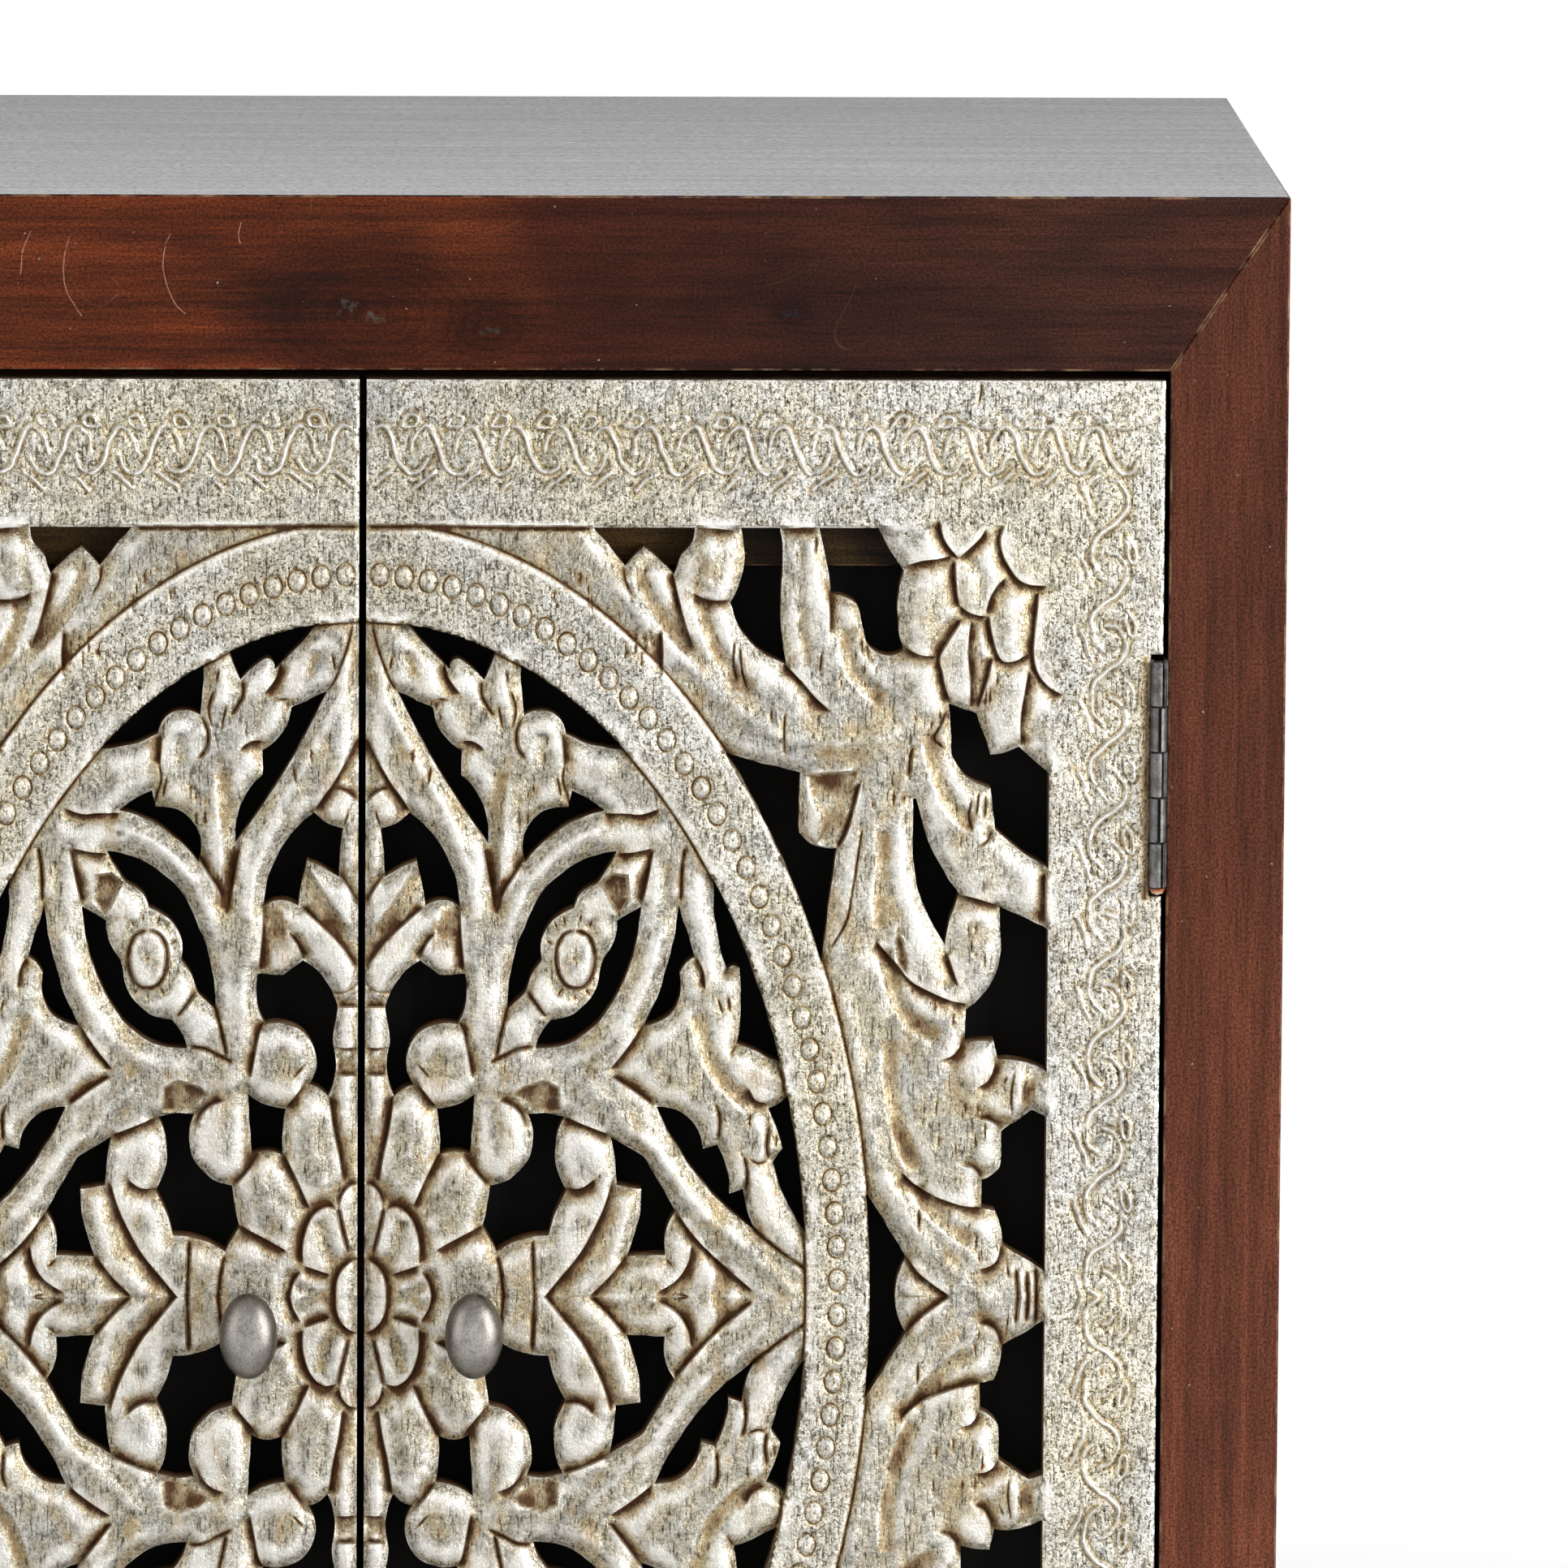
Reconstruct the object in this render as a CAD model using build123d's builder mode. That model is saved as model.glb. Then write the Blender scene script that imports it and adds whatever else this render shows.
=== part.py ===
from build123d import *
import os

# Two-door cabinet with carved, pierced doors, modelled piece by piece at its real size.
# Millimetres. X runs to the right, Y to the back and Z up. The origin is on the floor, in the
# middle of the space that the closed cabinet takes up, with its knobs.

os.makedirs("parts", exist_ok=True)

# ------------------------------------------------------------------ driving dimensions
case_width = 760
case_depth = 400
case_height = 916
board = 20                 # thickness of the case boards and of the face frame
rail_face = 72             # height of the face frame's rails, seen from the front
stile_face = 48.5          # width of the face frame's stiles, seen from the front
glide_height = 6
glide_radius = 15
glide_inset = 45
back_thickness = 6
rebate_width = 8

door_gap_top = 4
door_gap_hinge = 2.1
door_gap_centre = 3        # between the two doors
carved_thickness = 18
back_frame_thickness = 12
backing_thickness = 3
back_rail_height = 79
hinge_stile_width = 46
meeting_batten_width = 7

border_top = 61            # height of the carved border along the top and the bottom
border_side = 46.4         # width of the carved border on the hinge side
ground_depth = 4           # how far the leaves lie below the border and the ring
strap_depth = 1
strap_width = 6
ring_outer = (210.5, 322.5)  # half width and half height of the oval band
ring_inner = (184.5, 282)

oval_stretch = 1.5         # the medallion and the knobs are taller than wide by this much
boss = (10.5, 22)
petal_tiers = (            # petals, inner and outer radius and depth of each tier
    (12, 31, 61, 1.5),
    (8, 8, 30, 1),
)

knob_reach = 26            # from the door's face to the knob's crown
knob_radius = 12
knob_foot = 7
knob_seat = 8              # half width of the flat that the knob stands on
knob_x = 46.5
knob_below_centre = 13
bolt_radius = 2
bolt_head = (5, 3)         # radius and height
bolt_grip = 10             # how far the bolt goes into the knob

knuckle_radius = 3.35
knuckle_pitch = 18.9
knuckle_gap = 0.3
knuckle_count = 5
pin_radius = 1.6
pin_clearance = 0.05
pin_tip = 2.9
leaf_thickness = 1.5
leaf_width = 17
hinge_axis_in = 1.7        # the pin stands this far inside the door's edge
hinge_axis_out = 1         # and this far in front of its face
hinge_drop = 191.8         # from the case's top down to the upper hinge
hinge_room = 2.5           # notch above a hinge
screw_head = 3.3           # radius of a countersunk head, as deep as a hinge leaf is thick
screw_shank = 1.5
screw_sides = 8            # screws are drawn with few faces, because there are many
screw_pitch = 32           # between the screws of one hinge leaf
screw_length = 14
backing_screw_length = 26  # through the backing board and the back frame into the panel
stop_gap = 0.3             # between the closed doors and the rails that stop them

stop_rail_height = 76
stop_rail_thickness = 18
shelf_thickness = 18
cleat = 20
catch_size = (36, 14, 12)
strike_size = (32, 1.2, 10)

# ------------------------------------------------------------------ places worked out
case_bottom = glide_height
case_top = case_bottom + case_height
case_middle = case_bottom + case_height / 2
front = -(case_depth + knob_reach) / 2 + knob_reach
back = front + case_depth
half_case = case_width / 2
half_opening = half_case - stile_face
half_height = case_height / 2

door_inner = door_gap_centre / 2
door_outer = half_opening - door_gap_hinge
door_width = door_outer - door_inner
door_height = case_height - 2 * rail_face - 2 * door_gap_top
door_middle_x = (door_inner + door_outer) / 2
panel_back = front + carved_thickness
frame_back = panel_back + back_frame_thickness
door_back = frame_back + backing_thickness

front_plane = Plane(origin=(0, front, case_middle), x_dir=(1, 0, 0), z_dir=(0, -1, 0))

hinge_x = door_outer - hinge_axis_in
hinge_y = front - hinge_axis_out
hinge_height = knuckle_count * knuckle_pitch
notch_x = hinge_x - knuckle_radius - pin_clearance
notch_height = hinge_room + hinge_height + pin_tip + 1
upper_hinge_top = case_top - hinge_drop
lower_hinge_top = 2 * case_middle - upper_hinge_top + hinge_height + pin_tip
hinge_tops = {"upper": upper_hinge_top, "lower": lower_hinge_top}


def finish(piece, name):
    """Name a piece and write it."""
    piece.part.label = name
    export_step(piece.part, f"parts/{name}.step")


def twin(piece):
    """The piece's mirror image, for the other door or side."""
    with BuildPart() as mirrored:
        mirror(piece.part, about=Plane.YZ)
    return mirrored


# ------------------------------------------------------------------ case boards
def case_board(outer_face, width, depth):
    """A board mitred along its sides and its front, rebated at the back for the panel.

    outer_face looks into the case, with its x along the board's width and its middle on
    the board's back edge.
    """
    with BuildPart() as piece:
        with BuildSketch(outer_face):
            with Locations((0, (board - depth) / 2)):
                Rectangle(width, depth + board)
        extrude(amount=board, taper=45)
        split(bisect_by=Plane(origin=(0, back, 0), z_dir=(0, 1, 0)), keep=Keep.BOTTOM)
        with Locations((0, back - back_thickness / 2, case_middle)):
            Box(
                case_width - 2 * (board - rebate_width),
                back_thickness,
                case_height - 2 * (board - rebate_width),
                mode=Mode.SUBTRACT,
            )
    return piece


top_face = Plane(origin=(0, back, case_top), x_dir=(-1, 0, 0), z_dir=(0, 0, -1))
bottom_face = Plane(origin=(0, back, case_bottom), x_dir=(1, 0, 0), z_dir=(0, 0, 1))
right_face = Plane(origin=(half_case, back, case_middle), x_dir=(0, 0, 1), z_dir=(-1, 0, 0))

finish(case_board(top_face, case_width, case_depth), "top_board")
finish(case_board(bottom_face, case_width, case_depth), "bottom_board")
right_side = case_board(right_face, case_height, case_depth)
finish(right_side, "right_side_board")
finish(twin(right_side), "left_side_board")

with BuildPart() as back_panel:
    with Locations((0, back - back_thickness / 2, case_middle)):
        Box(
            case_width - 2 * (board - rebate_width),
            back_thickness,
            case_height - 2 * (board - rebate_width),
        )
finish(back_panel, "back_panel")


# ------------------------------------------------------------------ face frame
def frame_member(*corners):
    """One side of the face frame: mitred at its ends, and at its outer edge to the case."""
    with BuildPart() as piece:
        with BuildSketch(front_plane):
            Rectangle(case_width, case_height)
        extrude(amount=-board, taper=45)
        with BuildSketch(front_plane):
            Polygon(*corners, align=None)
        extrude(amount=-board, mode=Mode.INTERSECT)
    return piece


outer_corner = (half_case, half_height)
inner_corner = (half_opening, half_height - rail_face)


def corner(point, side, level):
    """A face frame corner, mirrored to one side and to the top or the bottom."""
    return (side * point[0], level * point[1])


for name, level in (("top", 1), ("bottom", -1)):
    rail = frame_member(
        corner(outer_corner, -1, level),
        corner(outer_corner, 1, level),
        corner(inner_corner, 1, level),
        corner(inner_corner, -1, level),
    )
    finish(rail, f"face_frame_{name}_rail")

right_stile = frame_member(
    corner(outer_corner, 1, 1),
    corner(outer_corner, 1, -1),
    corner(inner_corner, 1, -1),
    corner(inner_corner, 1, 1),
)
finish(right_stile, "face_frame_right_stile")
finish(twin(right_stile), "face_frame_left_stile")

# ------------------------------------------------------------------ inside the case
inner_half = half_case - board
stop_front = door_back + stop_gap
stop_back = stop_front + stop_rail_thickness
shelf_depth = back - back_thickness - stop_back
shelf_y = (stop_back + back - back_thickness) / 2

for name, level in (("top", 1), ("bottom", -1)):
    stop_z = case_middle + level * (half_height - board - stop_rail_height / 2)
    with BuildPart() as stop_rail:
        with Locations((0, (stop_front + stop_back) / 2, stop_z)):
            Box(2 * inner_half, stop_rail_thickness, stop_rail_height)
    finish(stop_rail, f"{name}_door_stop_rail")

with BuildPart() as shelf:
    with Locations((0, shelf_y, case_middle)):
        Box(2 * inner_half, shelf_depth, shelf_thickness)
finish(shelf, "shelf")

with BuildPart() as shelf_cleats:
    cleat_z = case_middle - (shelf_thickness + cleat) / 2
    with Locations(
        (inner_half - cleat / 2, shelf_y, cleat_z),
        (-inner_half + cleat / 2, shelf_y, cleat_z),
    ):
        Box(cleat, shelf_depth - 2 * cleat, cleat)
finish(shelf_cleats, "shelf_cleats")

with BuildPart() as floor_glides:
    with BuildSketch():
        with Locations((0, (front + back) / 2)):
            with GridLocations(case_width - 2 * glide_inset, case_depth - 2 * glide_inset, 2, 2):
                Circle(glide_radius)
    extrude(amount=glide_height)
finish(floor_glides, "floor_glides")

catch_x = door_inner + 40
catch_z = case_top - board - stop_rail_height - catch_size[2] / 2
with BuildPart() as door_catches:
    with Locations((catch_x, stop_front, catch_z), (-catch_x, stop_front, catch_z)):
        with Locations((0, catch_size[1] / 2 + strike_size[1], 0)):
            Box(*catch_size)
finish(door_catches, "door_catches")


def flush_screws(face, spots, length):
    """Screws with countersunk heads flush with a face that looks away from the wood."""
    with BuildPart() as screws:
        with BuildSketch(face):
            with Locations(*spots):
                RegularPolygon(screw_head, screw_sides)
        extrude(amount=-leaf_thickness, taper=45)
        with BuildSketch(face.offset(-leaf_thickness)):
            with Locations(*spots):
                RegularPolygon(screw_shank, screw_sides)
        extrude(amount=leaf_thickness - length)
    return screws


rebate_half = half_case - board + rebate_width / 2
rebate_rise = half_height - board + rebate_width / 2
side_spots = [(side * rebate_half, rise) for side in (-1, 1) for rise in (-300, 0, 300)]
end_spots = [(across, end * rebate_rise) for across in (-240, 240) for end in (-1, 1)]
outside_back = Plane(origin=(0, back, case_middle), x_dir=(-1, 0, 0), z_dir=(0, 1, 0))
finish(flush_screws(outside_back, side_spots + end_spots, screw_length), "back_panel_screws")

# ------------------------------------------------------------------ carved panel
# The openings of the fretwork, for the upper half of the right door. A point is its distance
# from the joint between the doors and its drop from the case's top. Each bracket is one
# stretch, which starts where the one before it ends, and the last meets the first: one point
# makes it a line and two make it an arc.
openings = {
    "beside the tip, under the ring": [
        [(40, 176), (57, 184)], [(53.5, 194), (50, 201)], [(44, 195), (40, 192)],
        [(37.5, 192.5), (36, 196.5)], [(27, 187.5), (14, 172)], [(26, 173)]],
    "above the bud, under the ring": [
        [(88, 203)], [(100, 213), (112, 230)], [(100, 229), (84, 223.5)], [(79, 215), (66.5, 215.5)],
        [(65.5, 204), (65, 188)]],
    "between the cusp and the stem": [
        [(22, 209), (29, 212.5)], [(32.5, 222.5), (41, 230)], [(41, 240)], [(49, 250.5), (52, 269)],
        [(35, 244), (14.5, 205.5)]],
    "left of the first spandrel leaf": [
        [(136.5, 136)], [(135.3, 143.5), (131, 149)], [(128, 157)], [(121, 150), (115.5, 146)],
        [(112, 149), (108, 153.5)], [(102, 146), (93.5, 136)]],
    "between the bud and the stalk": [
        [(171, 136)], [(172.8, 147), (172.3, 160)], [(172, 178), (174.5, 194.5)],
        [(159, 184.5), (151, 169)], [(156.5, 154), (155, 136)]],
    "under the flower": [
        [(211.5, 136)], [(215, 143.5), (222.5, 155.5)], [(220, 172), (222.5, 188.5)],
        [(213, 190), (207, 185)], [(203.5, 169.5)], [(199, 166.5), (192.5, 165.5)],
        [(191, 153), (187, 136)]],
    "right of the lobed leaf, top": [
        [(247, 212), (253, 214.5)], [(256, 223), (258.5, 231.5)], [(264, 231), (270.5, 228.5)],
        [(276, 233), (287, 243)], [(287, 281)], [(275, 274), (261, 263)], [(260, 255), (259, 245.5)],
        [(248, 240), (242.5, 224)], [(241.5, 210.5)]],
    "between the ring and the stalk": [
        [(160, 234), (180.5, 239)], [(180, 264)], [(185, 268.5), (196, 270.5)],
        [(193, 290), (189, 328)], [(162, 273), (140, 227)]],
    "slot beside the lobed leaf": [
        [(230.5, 292), (240.5, 311)], [(242.5, 301), (246.5, 290)], [(235, 271), (228.5, 250)],
        [(227, 250)], [(227, 270)]],
    "between the hanging leaf and the border": [
        [(287, 306)], [(287, 367)], [(276, 360.5), (263, 359.5)], [(261, 351)], [(249, 352)],
        [(249.5, 338)], [(259.5, 327.5), (264, 312)], [(263, 295)], [(267, 297), (270, 298)]],
    "between the lobes and the border": [
        [(287, 384)], [(287, 451)], [(275, 442.5), (265.5, 437)], [(264, 427), (262, 422.5)],
        [(256.5, 421.5)], [(256.5, 409.5)], [(261, 407.5), (264.5, 403)], [(264.5, 389)],
        [(270, 385), (277, 380.5)]],
    "right of the side cusp": [
        [(165, 321), (179, 364)], [(164, 356), (155, 352.5)], [(156.5, 338), (156, 321)],
        [(153, 320), (150.5, 322)], [(146, 303), (145, 281)]],
    "between the strap and the side leaf": [
        [(134, 305), (137.5, 316)], [(133, 319.5), (131, 323)], [(127.5, 340), (116.5, 345)],
        [(124.5, 325), (130.5, 295)]],
    "round the eye, left": [
        [(61.5, 321), (69, 299)], [(82, 281), (105, 272)], [(101, 280), (97, 285.5)],
        [(90, 290), (87.5, 295.5)], [(77.5, 302.5), (74, 317.5)], [(70, 324), (68, 331)],
        [(60, 338)]],
    "round the eye, right": [
        [(112.5, 313), (103, 336)], [(90, 350), (72, 354.5)], [(74, 348), (78, 342.5)],
        [(90, 338), (97.5, 327)], [(99.5, 316.5)], [(103, 312), (105, 301)], [(109, 298.5), (115, 295)]],
    "under the bud": [
        [(93, 250), (100, 255)], [(83, 262), (67.5, 276.5)], [(70, 259), (85, 253.5)],
        [(86.5, 246.5)]],
    "above the palmette": [
        [(33, 270), (40.5, 295)], [(34, 292.5), (26, 295)], [(25, 287), (22.5, 276)],
        [(16, 279), (9.5, 283)], [(9, 272), (7.5, 262.5)], [(14, 260.5), (20, 256)]],
    "between the palmette and the rosette": [
        [(42.5, 323)], [(43.5, 333), (40, 344.5)], [(25, 347), (21.5, 369.5)],
        [(17, 371.5), (13.5, 374.5)], [(10.5, 364), (12, 352)], [(9.5, 337)],
        [(14, 327), (24, 317.5)], [(32, 323.5)]],
    "between the rosette and the pearl": [
        [(38, 378.5), (47, 373.5)], [(46, 387), (45, 399)], [(38.5, 397.5), (32.5, 399)],
        [(32.5, 389), (31, 379.5)]],
    "right of the rosette": [
        [(84, 383)], [(80, 398), (85, 414)], [(80, 424), (77.5, 432.5)], [(67, 434), (56, 439.5)],
        [(50, 429)], [(52, 421), (53.5, 412)], [(66, 405), (69, 382)], [(76, 381)]],
    "round the chevron": [
        [(130, 422.5)], [(126, 432), (126, 441)], [(110, 441.5)], [(114.5, 427), (116, 413)],
        [(105.5, 412)], [(105, 402), (103, 391.5)], [(117, 399.5)]],
    "between the strap and the jagged leaf": [
        [(133, 381.5), (141, 396)], [(147, 394.5)], [(148.5, 397), (152, 415)], [(158, 413)],
        [(159, 420), (163.5, 431)], [(144, 414), (122, 378.5)]],
    "between the jagged leaf and the ring": [
        [(185, 396), (188, 437)], [(177, 421), (170, 402)], [(174, 396)],
        [(172, 389), (168, 379.5)], [(173, 377), (180, 368)]],
}
# This one crosses the middle of the door, so it has no mirror image below it.
middle_opening = [
    [(225.5, 442)], [(221, 458), (225.5, 474)], [(214.5, 492.5)], [(204, 508)], [(204, 408)],
    [(214.5, 423.5)]]

# The straps that draw the eight pointed petals of the medallion, as centre lines.
straps = [
    [(-4, 172), (10, 213), (22, 239), (38, 268), (46, 298), (49, 330), (43, 368)],
    [(140, 262), (106, 264), (82, 271), (66, 291), (56, 315), (53, 345), (43, 372)],
    [(127, 262), (123, 292), (116, 325), (103, 346), (83, 358), (54, 367)],
    [(190, 458), (160, 437), (138, 411), (122, 388), (100, 374), (52, 366)],
]


def on_door(point):
    """A point given by its drop from the case's top, on the door's own plane."""
    return (point[0], half_height - point[1])


def outline_face(stretches):
    """A face bounded by lines and arcs that meet at corners."""
    start = on_door(stretches[-1][-1])
    with BuildSketch() as shape:
        with BuildLine():
            for stretch in stretches:
                points = [on_door(point) for point in stretch]
                if len(points) == 1:
                    Line(start, points[0])
                else:
                    ThreePointArc(start, *points)
                start = points[-1]
        make_face()
    return shape.sketch


def strap_band(centre_line):
    """A band of the strap's width along a smooth centre line, with two arcs on each side."""
    middle = Spline(*[on_door(point) for point in centre_line])
    sides = []
    for side in (-1, 1):
        steps = (0, 0.25, 0.5, 0.75, 1)
        across = [(middle % step).rotate(Axis.Z, 90) * side * strap_width / 2 for step in steps]
        sides.append([middle @ step + shift for step, shift in zip(steps, across)])
    left, right = sides
    with BuildSketch() as shape:
        with BuildLine():
            ThreePointArc(*left[:3])
            ThreePointArc(*left[2:])
            Line(left[4], right[4])
            ThreePointArc(*right[:1:-1])
            ThreePointArc(*right[2::-1])
            Line(right[0], left[0])
        make_face()
    return shape.sketch


def petal(turn, inner, outer, half_turn):
    """A pointed petal of the rosette, from one radius to another on the medallion's oval."""
    def on_oval(radius, angle):
        across = Vector(radius, 0).rotate(Axis.Z, angle)
        return (across.X, across.Y * oval_stretch)

    widest = inner + 0.6 * (outer - inner)
    with BuildSketch() as shape:
        with BuildLine():
            ThreePointArc(
                on_oval(inner, turn), on_oval(widest, turn - half_turn), on_oval(outer, turn)
            )
            ThreePointArc(
                on_oval(outer, turn), on_oval(widest, turn + half_turn), on_oval(inner, turn)
            )
        make_face()
    return shape.sketch


def right_half():
    """Cut the open sketch off at the joint between the doors."""
    with Locations((door_inner, 0)):
        Rectangle(
            door_width, door_height, align=(Align.MIN, Align.CENTER), mode=Mode.INTERSECT
        )


opening_faces = [outline_face(outline) for outline in openings.values()]
middle_face = outline_face(middle_opening)
strap_bands = [strap_band(centre_line) for centre_line in straps]

with BuildSketch() as pierced:
    add(opening_faces)
    mirror(about=Plane.XZ)
    add(middle_face)

with BuildSketch() as medallion:
    # the oval band, the rosette's boss and the flat under the knob
    Ellipse(*ring_outer)
    Ellipse(*ring_inner, mode=Mode.SUBTRACT)
    Ellipse(*boss)
    with Locations((knob_x, -knob_below_centre)):
        Ellipse(knob_seat, knob_seat * oval_stretch)
    right_half()

with BuildSketch() as full_height:
    # the border along the top, the bottom and the hinge side
    with Locations((door_middle_x, 0)):
        Rectangle(door_width, door_height)
    with Locations((door_outer - border_side, 0)):
        Rectangle(
            2 * door_width,
            door_height - 2 * border_top,
            align=(Align.MAX, Align.CENTER),
            mode=Mode.SUBTRACT,
        )
    add(medallion.sketch)

with BuildSketch() as cut_away:
    # the notches for the hinges, and the knob's hole
    for hinge_top in hinge_tops.values():
        with Locations((notch_x, hinge_top + hinge_room - case_middle)):
            Rectangle(door_outer - notch_x, notch_height, align=(Align.MIN, Align.MAX))
    with Locations((knob_x, -knob_below_centre)):
        Circle(bolt_radius)

leaf_plane = front_plane.offset(-ground_depth)
with BuildPart() as carved_panel:
    # the board, as thick as the leaves are, with its openings
    with BuildSketch(leaf_plane):
        with Locations((door_middle_x, 0)):
            Rectangle(door_width, door_height)
        add(pierced.sketch, mode=Mode.SUBTRACT)
        add(full_height.sketch)
        add(cut_away.sketch, mode=Mode.SUBTRACT)
    extrude(amount=ground_depth - carved_thickness)

    # what stands higher than the leaves
    with BuildSketch(leaf_plane):
        add(full_height.sketch)
        add(cut_away.sketch, mode=Mode.SUBTRACT)
    extrude(amount=ground_depth)
    with BuildSketch(leaf_plane):
        add(strap_bands)
        mirror(about=Plane.XZ)
        right_half()
        add(pierced.sketch, mode=Mode.SUBTRACT)
    extrude(amount=ground_depth - strap_depth)
    for petals, inner, outer, depth in petal_tiers:
        pitch = 360 / petals
        tier = [petal(turn * pitch, inner, outer, 0.42 * pitch) for turn in range(petals)]
        with BuildSketch(leaf_plane):
            add(tier)
            right_half()
            add(pierced.sketch, mode=Mode.SUBTRACT)
            add(cut_away.sketch, mode=Mode.SUBTRACT)
        extrude(amount=ground_depth - depth)
finish(carved_panel, "right_door_carved_panel")
finish(twin(carved_panel), "left_door_carved_panel")


# ------------------------------------------------------------------ back of the doors
def door_piece(low, high, name):
    """A plain board of the right door and its twin, between two corners."""
    with BuildPart() as piece:
        with Locations(low):
            Box(*(b - a for a, b in zip(low, high)), align=(Align.MIN, Align.MIN, Align.MIN))
    finish(piece, f"right_door_{name}")
    finish(twin(piece), f"left_door_{name}")


door_top = case_middle + door_height / 2
door_bottom = case_middle - door_height / 2
door_piece(
    (door_inner, panel_back, door_top - back_rail_height),
    (door_outer, frame_back, door_top),
    "back_top_rail",
)
door_piece(
    (door_inner, panel_back, door_bottom),
    (door_outer, frame_back, door_bottom + back_rail_height),
    "back_bottom_rail",
)
door_piece(
    (door_outer - hinge_stile_width, panel_back, door_bottom + back_rail_height),
    (door_outer, frame_back, door_top - back_rail_height),
    "back_hinge_stile",
)
door_piece(
    (door_inner, panel_back, door_bottom + back_rail_height),
    (door_inner + meeting_batten_width, frame_back, door_top - back_rail_height),
    "back_meeting_batten",
)
door_piece(
    (door_inner, frame_back, door_bottom), (door_outer, door_back, door_top), "backing_board"
)
strike_z = catch_z - strike_size[2] / 2
door_piece(
    (catch_x - strike_size[0] / 2, door_back, strike_z),
    (catch_x + strike_size[0] / 2, door_back + strike_size[1], strike_z + strike_size[2]),
    "strike_plate",
)

door_back_face = Plane(origin=(0, door_back, case_middle), x_dir=(1, 0, 0), z_dir=(0, 1, 0))
rail_middle = (door_height - back_rail_height) / 2
stile_x = door_outer - hinge_stile_width / 2
backing_spots = [(across, end * rail_middle) for across in (30, 150, 270) for end in (-1, 1)]
backing_spots += [(stile_x, rise) for rise in (-120, 120)]
backing_screws = flush_screws(door_back_face, backing_spots, backing_screw_length)
finish(backing_screws, "right_door_backing_screws")
finish(twin(backing_screws), "left_door_backing_screws")

# ------------------------------------------------------------------ knobs
knob_z = case_middle - knob_below_centre
knob_plane = Plane(origin=(knob_x, front, knob_z), x_dir=(1, 0, 0), z_dir=(0, -1, 0))
knob_section = Plane(origin=(knob_x, front, knob_z), x_dir=(1, 0, 0), z_dir=(0, 0, 1))

with BuildPart() as knob:
    with BuildSketch(knob_section):
        with BuildLine():
            Polyline((0, 0), (knob_foot, 0), (knob_foot, -1.5))
            Spline((knob_foot, -1.5), (5, -6), (6.5, -11), (knob_radius, -16))
            Spline(
                (knob_radius, -16), (11, -20), (6.5, -24.4), (0, -knob_reach),
                tangents=((0, -1), (-1, 0)),
            )
            Line((0, -knob_reach), (0, 0))
        make_face()
    revolve(axis=Axis((knob_x, front, knob_z), (0, -1, 0)))
    scale(by=(1, 1, oval_stretch), about=(knob_x, front, knob_z))
    with BuildSketch(knob_plane):
        Circle(bolt_radius)
    extrude(amount=bolt_grip, mode=Mode.SUBTRACT)
finish(knob, "right_door_knob")
finish(twin(knob), "left_door_knob")

with BuildPart() as knob_bolt:
    with BuildSketch(knob_plane.offset(-carved_thickness)):
        Circle(bolt_head[0])
    extrude(amount=-bolt_head[1])
    with BuildSketch(knob_plane.offset(-carved_thickness)):
        Circle(bolt_radius)
    extrude(amount=carved_thickness + bolt_grip)
finish(knob_bolt, "right_door_knob_bolt")
finish(twin(knob_bolt), "left_door_knob_bolt")


# ------------------------------------------------------------------ hinges
leaf_start = hinge_y + knuckle_radius + knuckle_gap
leaf_end = hinge_y + leaf_width
screw_y = (leaf_start + leaf_end) / 2
frame_wood = half_opening          # where each leaf lies on its wood
door_wood = notch_x + pin_clearance


def hinge_leaf(wood_x, open_side, knuckles, hinge_top):
    """A flat leaf on the wood, with its rolled knuckles and countersunk holes."""
    leaf_x = wood_x + open_side * leaf_thickness / 2
    open_x = wood_x + open_side * leaf_thickness
    screw_face = Plane(
        origin=(open_x, screw_y, hinge_top - hinge_height / 2),
        x_dir=(0, 1, 0),
        z_dir=(open_side, 0, 0),
    )
    with BuildPart() as leaf:
        with Locations((leaf_x, leaf_start, hinge_top)):
            Box(
                leaf_thickness, leaf_end - leaf_start, hinge_height,
                align=(Align.CENTER, Align.MIN, Align.MAX),
            )
        for knuckle in knuckles:
            foot = hinge_top - (knuckle + 1) * knuckle_pitch + knuckle_gap / 2
            with BuildSketch(Plane.XY.offset(foot)):
                with Locations((hinge_x, hinge_y)):
                    Circle(knuckle_radius)
                with Locations((leaf_x, hinge_y)):
                    Rectangle(
                        leaf_thickness, leaf_start - hinge_y, align=(Align.CENTER, Align.MIN)
                    )
                with Locations((hinge_x, hinge_y)):
                    Circle(pin_radius + pin_clearance, mode=Mode.SUBTRACT)
            extrude(amount=knuckle_pitch - knuckle_gap)
        with BuildSketch(screw_face):
            with GridLocations(0, screw_pitch, 1, 3):
                Circle(screw_head)
        extrude(amount=-leaf_thickness, taper=45, mode=Mode.SUBTRACT)
    return leaf


def leaf_screws(wood_x, open_side):
    """The screws of one side's two leaves: flush heads, and shanks in the wood."""
    open_x = wood_x + open_side * leaf_thickness
    with BuildPart() as screws:
        for hinge_top in hinge_tops.values():
            screw_face = Plane(
                origin=(open_x, screw_y, hinge_top - hinge_height / 2),
                x_dir=(0, 1, 0),
                z_dir=(open_side, 0, 0),
            )
            with BuildSketch(screw_face):
                with GridLocations(0, screw_pitch, 1, 3):
                    RegularPolygon(screw_head, screw_sides)
            extrude(amount=-leaf_thickness, taper=45)
            with BuildSketch(screw_face.offset(-leaf_thickness)):
                with GridLocations(0, screw_pitch, 1, 3):
                    RegularPolygon(screw_shank, screw_sides)
            extrude(amount=-screw_length)
    return screws


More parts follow.
